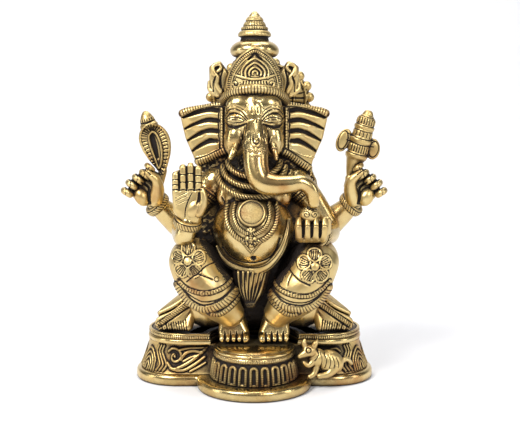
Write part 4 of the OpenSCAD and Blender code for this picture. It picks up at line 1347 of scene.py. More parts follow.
@dataclass
class Arms:
    """Four arms with bangles, hands, and what the hands hold."""

    bangle_r: float = 5.6

    LINES = {
        "blessing": [(-20, 5, 104, 8), (-28, 5, 94, 6.8), (-36, 3, 82, 6), (-34.2, -16, 78.5, 5.4), (-32.4, -18.6, 86, 4.8)],
        "sweet": [(21, 5, 104, 8), (30, 5, 94, 6.8), (38, 3, 80, 6), (35, -10, 79, 5.4), (31.5, -17, 80, 4.8)],
        "leaf": [(-20, 11, 105, 7.4), (-29, 13, 92, 7.2), (-36, 13, 81, 7.4), (-43, 10.5, 85.6, 6.6), (-50, 7, 92.5, 5)],
        "conch": [(20, 11, 105, 7.4), (29, 13, 92, 7.2), (36, 13, 81, 7.4), (43, 10.5, 85.6, 6.6), (50, 7, 92.5, 5)],
    }

    def arm(self, shop: Workshop, name: str) -> None:
        """Builds an arm and its bangle.

        Args:
            shop: the workshop.
            name: which arm.
        """
        line = self.LINES[name]
        relief = Relief(fuse(f"{name}_arm", [limb(line, 32, 8)], 0.48, 2))
        x, z = relief.co[:, 0], relief.co[:, 2]
        inner = np.clip((30 - np.abs(x)) / 6, 0, 1)
        relief.rough(0.2, 1.4, inner * (0.8 if name in ("leaf", "conch") else 0.25), 0.8)
        a, b = np.array(line[0][:3]), np.array(line[1][:3])
        way = (b - a) / np.linalg.norm(b - a)
        for k, (t, pitch) in enumerate(((4.5, 0.0), (6.4, 1.0), (8.3, 0.0))):
            self.ring(relief, a + way * t, way, 1.0 if pitch else 0.5, 0.55 if pitch else 0.35, 12, pitch)
        shop.figure(relief, [f"{name}_arm"], near_gain=3.0, far_gain=0.5)

        a, b = np.array(line[-2][:3]), np.array(line[-1][:3])
        way = (b - a) / np.linalg.norm(b - a)
        side = np.cross(way, (0, 1, 0))
        side /= np.linalg.norm(side)
        up = np.cross(way, side)
        angles = np.linspace(0, TAU, 120, endpoint=False)
        rows = []
        for t in np.linspace(0, TAU, 36, endpoint=False):
            r, h = self.bangle_r + 1.45 * math.copysign(abs(math.cos(t)) ** 0.6, math.cos(t)), 2.2 * math.copysign(abs(math.sin(t)) ** 0.8, math.sin(t))
            rows.append(b + way * h + r * (np.cos(angles)[:, None] * side + np.sin(angles)[:, None] * up))
        relief = Relief(lathe_rows(f"{name}_bangle", rows, loop=True))
        self.ring(relief, b, way, 1.5, 0.0, 12, 1.3, slant=0.5)
        for h in (-1.55, 1.55):
            self.ring(relief, b + way * h, way, 0.26, -0.4, 12, 0.0, stain_and_shade=1.1)
        shop.figure(relief, [f"{name}_bangle"], Finish.SATIN, near_gain=4.0, far_gain=1.0)

    def ring(self, relief: Relief, centre: Point, way: Point, width: float, height: float, reach: float,
             pitch: float, slant: float = 0.0, stain_and_shade: float = 0.0) -> None:
        """Raises a band all round a limb.

        Args:
            relief: the limb.
            centre: a point on its axis.
            way: the axis.
            width: half width of the band, in mm.
            height: its height; negative cuts it.
            reach: how far from the centre it may act.
            pitch: spacing of its hatching, or 0.
            slant: how far the hatching leans.
            stain_and_shade: how dark it is.
        """
        gap = relief.co - np.asarray(centre)
        along = gap @ way
        close = np.linalg.norm(gap, axis=1) < reach
        share = np.abs(along) / width
        dome = np.sqrt(np.clip(1 - share ** 4, 0, 1)) * close
        relief.lift += height * dome
        foot = np.exp(-((share - 1.15) / 0.2) ** 2) * close * (1.0 if height > 0 else 0.0)
        relief.stain_and_shade = np.maximum(relief.stain_and_shade, np.maximum(0.85 * foot, stain_and_shade * dome))
        if pitch > 0:
            side = np.cross(way, (0, 1, 0))
            side /= np.linalg.norm(side)
            turn = np.arctan2(gap @ np.cross(way, side), gap @ side)
            inside = close & (share < 0.9)
            relief.phase = np.where(inside, (turn * 6 + slant * along) / pitch, relief.phase)
            relief.hatch = np.where(inside, 1.0, relief.hatch)

    def blessing_hand(self, shop: Workshop) -> None:
        """The raised palm with its joint lines, and the thumb."""
        tips = [(-37.9, 109.6, 1.75), (-34.3, 113.0, 1.85), (-30.6, 113.8, 1.85), (-26.9, 112.4, 1.85)]
        parts = [pad([(-37.2, -20, 101.4, 2.6), (-27.4, -20, 101.4, 2.6), (-36.2, -19.5, 93, 3.2), (-33.4, -19.5, 88, 3.2), (-29.4, -19.5, 88, 3.6), (-27.4, -19.8, 93, 3.2)])]
        parts.append(pad([(-37.6, -18.6, 101, 1.5), (-27.4, -18.6, 101, 1.5), (-37.6, -18.8, 110.0, 1.3), (-31, -18.8, 113.4, 1.3), (-27.4, -18.8, 112.2, 1.3)]))
        for x, z, r in tips:
            parts.append(limb([(x, -20, 100, r + 0.1), (x, -20.8, z - 5, r + 0.05), (x, -20.8, z, r)], 24))
        parts.append(ball((-29.0, -21.4, 93), (3.6, 2.6, 5.4), (0, 28, 0)))
        parts.append(limb([(-26.8, -21.6, 91, 2.3), (-24.6, -22.2, 95, 2.0), (-24.2, -22.4, 99, 1.8), (-24.8, -22.2, 102, 1.5)], 24))
        relief = Relief(fuse("blessing_hand", parts, 0.26, 2))
        where = relief.facing(least=0.0)
        for x, z, r in tips:
            for t in (0.36, 0.7):
                level = 102.2 + (z - 102.2) * t
                relief.groove([(x - r, level - 0.1), (x, level + 0.15), (x + r, level - 0.1)], 0.34, 0.4, where=where, stain_and_shade=1.0)
            relief.groove([(x - r, 102.4), (x + r, 102.6)], 0.4, 0.45, where=where, stain_and_shade=1.1)
        for x, top in ((-36.1, 112.0), (-32.45, 114.8), (-28.75, 115.0)):
            relief.groove([(x, 102), (x, top)], 0.42, 0.6, where=relief.facing(least=-0.5), stain_and_shade=1.2)
        for x, z in ((-38.0, 98.6), (-38.0, 97.0), (-37.6, 95.2)):
            relief.groove([(x, z, 0.6), (x + 3.4, z + 1.6, 1), (x + 6.6, z + 3.0, 0.6)], 0.26, 0.25, where=where, stain_and_shade=0.7)
        relief.groove([(-29.8, 101.0, 0.6), (-31.6, 97.6, 1), (-33.0, 93.4, 1), (-33.4, 89.4, 0.6)], 0.4, 0.45, where=where, stain_and_shade=0.8)
        relief.groove([(-26.4, 101.0, 0.8), (-26.6, 98, 1.2), (-27.6, 95.8, 0.6)], 0.6, 0.6, where=where, stain_and_shade=1.1)
        shop.figure(relief, ["blessing_hand"], Finish.SATIN, near_gain=4.0, far_gain=0.8)

    def sweet_hand(self, shop: Workshop) -> None:
        """The cupped hand and the round sweet it offers."""
        parts = [pad([(23.2, -20.4, 84, 3.4), (33, -20.4, 84, 3.6), (24.6, -21.8, 79.8, 3.2), (31.4, -21.8, 79.8, 3.2)])]
        for k in range(4):
            x = 21.8 + 4.1 * k
            spread = (k - 1.5) * 0.5
            parts.append(limb([(x - spread, -22.6, 79.0, 2.3), (x - spread * 0.4, -25.0, 81.4, 2.1), (x, -25.6, 85, 1.95), (x + 0.1, -24.4, 88.0, 1.5)], 24))
        parts.append(limb([(34.8, -20, 82, 2.9), (35.6, -22.3, 87.6, 2.1)], 20))
        relief = Relief(fuse("sweet_hand", parts, 0.26, 3))
        where = relief.facing(least=-0.4)
        for k in range(3):
            x = 23.85 + 4.1 * k
            relief.groove([(x - 0.2, 79.6, 0.5), (x, 82, 1), (x, 89, 1.1)], 0.55, 0.9, where=where, stain_and_shade=1.2)
        for k in range(4):
            relief.groove([(20.4 + 4.1 * k, 85.4), (21.8 + 4.1 * k, 85.8), (23.2 + 4.1 * k, 85.4)], 0.24, 0.2, where=where, stain_and_shade=0.7)
        shop.figure(relief, ["sweet_hand"], Finish.SATIN, near_gain=4.0, far_gain=0.8)

        parts = [ball((27.2, -22.5, 90.4), (5, 4.3, 4.0), segments=40), limb([(27.2, -22.5, 92.6, 2.8), (27.2, -22.5, 95, 1.3), (27.2, -22.5, 96, 0.7)])]
        relief = Relief(fuse("sweet", parts, 0.24, 3))
        where = relief.facing(least=-0.1)
        for cx, spin in ((25.2, 1), (29.4, -1)):
            coil = [(cx + spin * (0.25 + 0.0035 * a) * math.cos(math.radians(a)), 90.8 + (0.25 + 0.0035 * a) * math.sin(math.radians(a))) for a in range(0, 520, 40)]
            relief.groove(coil, 0.24, 0.3, where=where)
        relief.rough(0.12, 0.9, np.clip((relief.co[:, 2] - 92) / 1.5, 0, 1), 0.7)
        shop.figure(relief, ["sweet"], Finish.SATIN, near_gain=4.0, far_gain=0.8)

    def fist(self, shop: Workshop, side: int, name: str) -> None:
        """A fist round an emblem's stem.

        Args:
            shop: the workshop.
            side: -1 for the deity's right, 1 for its left.
            name: the emblem.
        """
        knuckles = [(-65.2, 99.6, 2.1), (-62.8, 103.6, 2.1), (-59.4, 106.4, 2.15), (-55.8, 108.8, 2.15), (-53.4, 112.4, 1.7)]
        parts = [pad(mirrored([(-57.2, 4.4, 96.6, 4.0), (-52.0, 4.0, 95.4, 4.2), (-62.6, 5.0, 100.6, 2.4), (-60.6, 5.0, 104.6, 2.2), (-54.6, 5.0, 109.4, 2.2), (-49.4, 5, 106, 2.8)], side)),
                 ball(mirrored([(-57.2, 1.4, 96.8)], side)[0], (3.8, 3.6, 5.0), (0, side * 30, 0))]
        for x, z, r in knuckles:
            parts.append(limb(mirrored([(x - 1.3, 3.2, z + 0.5, r - 0.3), (x - 0.6, 0.4, z + 0.4, r - 0.2), (x + 0.8, -1.0, z - 0.4, r - 0.25), (x + 2.2, -0.4, z - 1.6, r - 0.5)], side), 24))
        parts.append(limb(mirrored([(-50.4, 1.6, 95.0, 3.6), (-48.9, 0.0, 100.4, 3.4), (-49.4, -1.8, 105.4, 2.5), (-52.4, -2.6, 108.4, 1.8), (-54.2, -2.4, 109.8, 1.4)], side), 24))
        relief = Relief(fuse(f"{name}_hand", parts, 0.28, 2))
        where = relief.facing(least=-0.2)
        for x, z, r in knuckles:
            relief.groove(mirrored([(x + 0.3, z + r), (x + 0.5, z - 0.2), (x - 0.4, z - r)], side), 0.26, 0.25, where=where, stain_and_shade=0.8)
        for (x, z, _), (u, w, _) in zip(knuckles[:-1], knuckles[1:]):
            relief.groove(mirrored([((x + u) / 2 - 2.4, (z + w) / 2 + 1.0), ((x + u) / 2 + 0.2, (z + w) / 2 - 0.1), ((x + u) / 2 + 2.6, (z + w) / 2 - 2.0)], side), 0.4, 0.6, where=where, stain_and_shade=1.1)
        relief.groove(mirrored([(-56.6, 104.2), (-53.8, 101.6), (-53.6, 97.6), (-52.8, 93.6)], side), 0.6, 0.6, where=where, stain_and_shade=1.1)
        shop.figure(relief, [f"{name}_hand"], Finish.SATIN, near_gain=4.0, far_gain=0.8)

    def leaf(self, shop: Workshop) -> None:
        """The leaf-shaped emblem: veined blade, knot and pointed bud on a stem."""
        edge = [(-46.6, 107.6), (-50.0, 111.6), (-53.2, 115.4), (-56.6, 120.4), (-58.6, 126.2), (-57.6, 131.2), (-53.8, 134.4), (-48.8, 133.8),
                (-44.9, 130.4), (-42.9, 125.4), (-42.8, 119.6), (-44.2, 113.6)]
        loop = [(-48.9, 111.4), (-50.7, 117.0), (-52.8, 123.0), (-53.4, 127.4), (-51.6, 129.9), (-49.4, 128.2), (-47.6, 123.4), (-47.0, 118.4), (-47.6, 113.6)]
        middle = np.array((-50.4, 121.8))
        knob = [(3.2, -1.6), (4.6, -1.2), (4.7, 0.2), (4.1, 1.0), (3.9, 1.8), (3.5, 3.4), (2.6, 5.4), (1.4, 7.0), (0.4, 7.5)]
        blade = [(*(middle + (np.array(p) - middle) * 0.84), 1.5) for p in edge]
        parts = [pad([(x, 5.0, z, r) for x, z, r in blade]), turned((-53.6, 5.0, 133.2), knob, -16.0, 72),
                 limb([(-46.8, 5, 110, 2.2), (-48.2, 5, 104, 2.0), (-49.6, 5, 99.6, 1.9)], 20)]
        relief = Relief(fuse("leaf_emblem", parts, 0.25, 1))
        for where in (relief.facing(), relief.facing((0, 1, 0))):
            relief.ridge([middle + (np.array(p) - middle) * 0.92 for p in edge], 0.6, 0.55, where=where, closed=True)
            rings = smooth_line(edge, 3, True), smooth_line(loop, 6, True)
            for k in range(len(rings[0])):
                a = rings[0][k]
                b = rings[1][np.argmin(np.hypot(*(rings[1] - a).T))]
                relief.groove([a + (b - a) * 0.28, a + (b - a) * 0.74], 0.3, 0.5, where=where, stain_and_shade=1.0)
            relief.ridge(loop, 0.62, 0.8, where=where, closed=True, edge=1.2)
            relief.groove([(-51.8, 127.4, 1.2), (-50.6, 122.6, 1.3), (-49.4, 117.0, 0.7)], 1.2, 1.0, where=where, stain_and_shade=1.1)
            relief.groove([(-58.6, 134.0), (-53.6, 134.6), (-48.8, 137.0)], 0.4, 0.5, where=where, stain_and_shade=1.1)
            relief.ridge([(-57.6, 135.0), (-53.6, 136.0), (-49.6, 137.6)], 0.9, 0.1, where=where, pitch=1.2, edge=0.3)
        shop.figure(relief, ["leaf_emblem"], Finish.CARVED, near_gain=4.0, far_gain=0.7)

    def conch(self, shop: Workshop) -> None:
        """The bulbous emblem with two ribs, a pointed cap and a fin each side."""
        profile = [(1.7, 0), (1.9, 0.4), (2.0, 6), (3.0, 9), (4.6, 15), (5.5, 16.2), (5.8, 17.4), (5.4, 18.5), (5.0, 19), (5.4, 19.6), (5.6, 22), (5.2, 23.5),
                   (5.7, 24.3), (5.9, 25.4), (5.4, 26.5), (5.0, 27), (5.2, 27.6), (5.1, 30.3), (4.8, 30.8), (5.3, 31.8), (5.2, 33), (4.6, 33.5), (5.0, 34.2), (4.9, 36),
                   (4.0, 37.6), (2.9, 38.3), (2.7, 39), (2.2, 40.2), (1.2, 40.9), (0.4, 41)]
        foot = np.array((47.6, 5.0, 101.2))
        lean = np.array(Matrix.Rotation(math.radians(15.5), 3, "Y"))

        def at(x: float, h: float) -> np.ndarray:
            """Places a point of the leaning emblem on the front map."""
            return (np.array((x, 0.0, h)) @ lean.T + foot)[::2]

        parts = [turned(foot, profile, 15.5, 120)]
        for x, h, wide, tall in ((-8.4, 23.0, 3.6, 6.2), (7.2, 22.6, 3.8, 5.4)):
            u, w = at(x, h)
            parts.append(ball((u, 5.0, w), (wide, 1.5, tall), (0, 15.5 + (8 if x < 0 else -12), 0)))
        relief = Relief(fuse("conch_emblem", parts, 0.28, 1))
        around = relief.facing(least=-2)
        for h in (18.8, 23.7, 26.9, 30.7, 33.6, 38.2):
            relief.groove([at(-7, h), at(0, h - 0.9), at(7, h)], 0.3, 0.3, where=around)
        for low, high, count in ((19.6, 23.0, 7), (34.2, 37.2, 7), (27.8, 30.0, 5)):
            for k in range(count):
                x = (k - (count - 1) / 2) * 9.4 / count
                relief.groove([at(x, low - 0.4), at(x, high - 0.6)], 0.28, 0.35, where=around)
        for x, h, wide, tall in ((-8.8, 23.0, 2.4, 4.8), (7.6, 22.6, 2.5, 4.1)):
            ring = [at(x + wide * math.cos(a), h + tall * math.sin(a)) for a in np.linspace(0, TAU, 12, endpoint=False)]
            relief.groove(ring, 0.32, 0.4, where=relief.facing(), closed=True)
        shop.figure(relief, ["conch_emblem"], Finish.CARVED, near_gain=4.0, far_gain=0.6)

    def build(self, shop: Workshop) -> None:
        """Builds the four arms and what they hold."""
        for name in self.LINES:
            self.arm(shop, name)
        self.blessing_hand(shop)
        self.sweet_hand(shop)
        self.fist(shop, -1, "leaf")
        self.fist(shop, 1, "conch")
        self.leaf(shop)
        self.conch(shop)


# ---------------------------------------------------------------- head


@dataclass
class Head:
    """Face, trunk, tusks, ears and hair."""

    TRUNK = [(0.5, -8.5, 142, 4.2), (0.7, -12.6, 134.5, 5.2), (0.9, -17.4, 127.5, 5.9), (0.9, -21.4, 120.5, 6.1), (1.4, -24, 113, 5.8), (4, -26, 107, 5.5),
             (9.5, -27, 105.2, 5.2), (17, -27.5, 105.6, 4.4), (23, -27.5, 106.2, 3.8), (27.6, -27, 102.6, 3.4), (28.8, -26, 96.5, 2.8)]

    def face(self, shop: Workshop) -> None:
        """Skull, brow domes, half-closed eyes and cheeks."""
        parts = [ball((0.2, -2, 136), (15, 15, 16), segments=40), ball((0.3, -11, 137), (7, 6.6, 11), segments=32)]
        for s in (-1, 1):
            parts.append(ball((s * 8.6, -8.5, 127), (6.3, 7, 9.5), (0, s * -8, 0)))
            parts.append(ball((s * 5.6, -10.4, 143), (8.2, 5, 6.0)))
            parts.append(ball((s * 9.4 + 0.2, -12.6, 136.4), (4.2, 2.3, 2.5), (0, s * 8, 0)))
        parts.append(ball((0.4, -9.5, 133), (8.2, 8.6, 10)))
        parts.append(ball((0.3, -9.6, 143), (7, 6.2, 7)))
        parts.append(ball((0.4, -11.0, 138.6), (6.4, 5.2, 7.2)))
        parts.append(limb(self.TRUNK, 48, 10))
        relief = Relief(fuse("head", parts, 0.34, 4))
        self.trunk(relief)
        where = relief.facing(least=0.0)
        for s, cx in ((-1, 0.0), (1, 0.4)):
            def eye(points: Sequence[Point]) -> list:
                """Takes points drawn for the deity's right eye to this side."""
                return [(-s * p[0] + cx, *p[1:]) for p in points]
            relief.groove(eye([(-3.8, 135.8), (-6.4, 138.3), (-9.6, 139.3), (-12.4, 138.6), (-14.2, 136.6)]), 0.36, 0.45, where=where, stain_and_shade=1.0)
            relief.groove(eye([(-3.2, 136.6), (-6.2, 140.0), (-9.6, 141.3), (-12.8, 140.5), (-14.8, 137.8)]), 0.36, 0.45, where=where, stain_and_shade=0.9)
            relief.groove(eye([(-3.2, 138.8), (-6.2, 141.8), (-9.8, 143.0), (-13.2, 141.9), (-15, 139.6)]), 0.26, 0.25, where=where, stain_and_shade=0.5)
            relief.groove(eye([(-4.6, 135.6, 0.5), (-7.0, 136.9, 1), (-9.6, 137.3, 1.2), (-12.2, 136.8, 1), (-13.9, 136.0, 0.5)]), 0.34, 0.35, where=where, stain_and_shade=1.0)
            relief.groove(eye([(-8.8, 136.2), (-10.4, 136.2)]), 0.95, 0.15, where=where, stain_and_shade=0.9, steps=2)
            relief.groove(eye([(-4.6, 135.4), (-7.0, 134.9), (-9.6, 134.8), (-12.2, 135.0), (-13.9, 135.8)]), 0.24, 0.25, where=where, stain_and_shade=0.9)
            relief.ridge(eye([(-4.2, 135.0), (-6.8, 134.0), (-9.6, 133.7), (-12.4, 134.2), (-14.2, 135.6)]), 0.42, 0.35, where=where, edge=0.5)
            relief.groove(eye([(-4.2, 134.2, 0.5), (-6.8, 132.9, 1), (-9.6, 132.4, 1.3), (-12.6, 133.1, 1), (-14.4, 135.0, 0.5)]), 0.6, 0.7, where=where, stain_and_shade=1.25)
            relief.groove(eye([(-3.6, 134.4), (-4.0, 130), (-5.0, 124.6)]), 0.34, 0.35, where=where, stain_and_shade=0.9)
            relief.groove(eye([(-4.6, 133.4), (-5.2, 129), (-6.4, 124.6)]), 0.24, 0.2, where=where, stain_and_shade=0.6)
        relief.groove([(-0.9, 142.4), (-1.0, 139.2)], 0.24, 0.3)
        relief.groove([(0.5, 142.8), (0.4, 138.8)], 0.24, 0.3)
        relief.groove([(1.9, 142.4), (2.0, 139.2)], 0.24, 0.3)
        for x, z in ((-2.4, 144), (-1.0, 145.4), (0.6, 146), (2.2, 145.4), (3.6, 144), (-0.2, 144), (1.4, 144)):
            relief.disc((x, z), 0.5, 0.06, edge=1.0)
        relief.disc((0.6, 135.4), 0.9, 0.3, edge=1.1)
        for a in np.arange(6) * TAU / 6:
            relief.disc((0.6 + 1.7 * math.cos(a), 135.4 + 1.7 * math.sin(a)), 0.36, 0.05, edge=1.0)
        shop.figure(relief, ["head", "trunk"], near_gain=2.2, far_gain=0.2)

    def trunk(self, relief: Relief) -> None:
        """Chases the ornament at the trunk's root.

        Args:
            relief: the head and trunk.
        """
        relief.ridge([(-0.6, 129.4), (-0.9, 127), (-0.4, 124.6), (1.2, 123.6), (2.7, 124.6), (3.2, 127), (2.6, 129.6)], 0.6, 0.6, edge=1.2)
        relief.disc((1.2, 126.2), 1.3, 0.5, edge=1.1)
        relief.ridge([(-6.2, 127.4), (-4.8, 123.4), (-2.4, 121.6), (-1.0, 122.6), (1.1, 120.6), (3.2, 122.6), (4.6, 121.6), (7.0, 123.4), (8.4, 127.4)], 0.42, 0.5, edge=1.1)
        for s in (-1, 1):
            def side(points: Sequence[Point]) -> list:
                """Mirrors ornament strokes about the trunk's middle."""
                return [(1.1 + s * x, z) for x, z in points]
            relief.ridge(side([(3.4, 130.6), (4.8, 129.4), (4.9, 127.4), (3.6, 126.6), (3.0, 127.8)]), 0.42, 0.4)
            relief.ridge(side([(4.6, 126.4), (5.4, 124.4), (4.4, 122.8), (2.8, 122.6)]), 0.4, 0.35)
            relief.ridge(side([(0.4, 122.6), (2.2, 121.6), (2.8, 120), (1.4, 119.2)]), 0.36, 0.3)
            relief.groove(side([(5.4, 131), (5.8, 126), (5.2, 120)]), 0.3, 0.3)
        relief.ridge([(1.1, 122.8), (1.1, 119.4)], 0.4, 0.35)
        relief.groove([(1.4, 119), (1.2, 115), (1.5, 111.5)], 0.2, 0.12, stain_and_shade=0.55)

    def tusks(self, shop: Workshop) -> None:
        """The broken tusk at the deity's right and the whole one at its left."""
        for name, line in (("right", [(-8.4, -13, 124, 2.3), (-10, -16.4, 120.8, 2.0), (-11.4, -18.2, 117.8, 1.2)]),
                           ("left", [(8.6, -13, 124.4, 2.4), (9.8, -16.6, 121.4, 2.0), (10.8, -18.6, 117.4, 1.0)])):
            relief = Relief(fuse(f"tusk_{name}", [limb(line, 24, 8)], 0.2, 1))
            way = np.array(line[1][:3]) - np.array(line[0][:3])
            Arms().ring(relief, np.array(line[1][:3]), way / np.linalg.norm(way), 0.5, 0.35, 6, 0.0)
            shop.figure(relief, [f"tusk_{name}"], near_gain=2.0, far_gain=0.3)

    def ear(self, shop: Workshop, side: int, name: str) -> None:
        """A fan-shaped ear with deep folds and hatched borders.

        Args:
            shop: the workshop.
            side: -1 for the deity's right, 1 for its left.
            name: "right" or "left".
        """
        upper = [(-14, 2, 143, 2.0), (-36, 5, 139.4, 1.8), (-35, 6, 134, 1.8), (-13.5, 1, 121, 2.0)]
        lower = [(-13.5, 1, 121, 2.0), (-35, 6, 134, 1.8), (-33.4, 6, 127, 1.8), (-28, 4.4, 115, 1.8)]
        parts = [pad(mirrored(upper, side)), pad(mirrored(lower, side))]
        if side > 0:
            parts.append(pad([(15, 2, 120, 1.9), (28, 4.4, 114.8, 1.9), (27.4, 5, 111, 1.7), (19, 4, 117, 1.8)]))
        relief = Relief(fuse(f"ear_{name}", parts, 0.33, 4))
        where = relief.facing(least=0.1)

        def fan(points: Sequence[Point]) -> list:
            """Takes strokes drawn for the deity's right ear to this side."""
            return mirrored(points, side)

        folds = [
            [(-18.6, 140.8), (-22.5, 141.2), (-28, 139.9), (-36.2, 136.9)],
            [(-18.4, 135.6), (-23, 136.0), (-28, 134.7), (-35.6, 131.3)],
            [(-18.6, 130.4), (-23, 130.6), (-28.5, 128.6), (-34.4, 125.2)],
            [(-19.0, 125.4), (-23, 125.2), (-27.5, 123.0), (-32.6, 119.4)],
        ]
        for line in folds:
            taper = [(*p, w) for p, w in zip(line, (1.3, 1.35, 1.0, 0.45))]
            relief.groove(fan(taper), 1.05, 1.5, where=where, stain_and_shade=1.15)
        relief.ridge(fan([(-16.6, 144.6), (-24, 144.2), (-30, 142.4), (-37.2, 139.0)]), 1.7, 0.8, where=where, pitch=1.35, edge=1.1)
        relief.ridge(fan([(-16, 122.2), (-20, 120.4), (-25, 118), (-31.4, 116.6)]), 0.35, 0.3, where=where)
        lower_edge = [(-14.6, 120.6), (-19, 118.4), (-24, 116), (-29.4, 114.2)] if side < 0 else [(-14.6, 120.0), (-19, 117.4), (-23.6, 114.4), (-28.4, 111.0)]
        relief.ridge(fan(lower_edge), 1.8, 0.8, where=where, pitch=1.35, edge=1.1)
        for x in (-17.7, -14.9):
            relief.groove(fan([(x, 142), (x - 0.2, 132), (x + 0.4, 121.6)]), 0.35, 0.5, where=where)
        for k in range(14):
            relief.disc(fan([(-16.2, 141.4 - 1.45 * k)])[0], 0.75, 0.45, where=where)
        shop.figure(relief, [f"ear_{name}"], Finish.SATIN, near_gain=3.5, far_gain=0.5)

    def mane(self, shop: Workshop) -> None:
        """Hair down the back of the head and neck."""
        parts = [ball((0, 11, 128), (15, 8, 17))]
        for k in range(-2, 3):
            parts.append(limb([(k * 5.6, 12, 140, 4), (k * 6, 16, 127, 4.2), (k * 4.6, 15, 111, 4), (k * 3.6, 14, 102, 3)], 24))
        relief = Relief(fuse("mane", parts, 0.5, 3))
        where = relief.facing((0, 1, 0), 0.0)
        for k in range(-7, 8):
            relief.groove([(k * 2.1, 145), (k * 2.15, 128), (k * 1.7, 112), (k * 1.25, 100)], 0.4, 0.45, where=where)
        shop.figure(relief, ["mane"], Finish.CARVED, near_gain=4.0, far_gain=0.6)

    def build(self, shop: Workshop) -> None:
        """Builds the head."""
        self.face(shop)
        self.tusks(shop)
        for side, name in ((-1, "right"), (1, "left")):
            self.ear(shop, side, name)
        self.mane(shop)


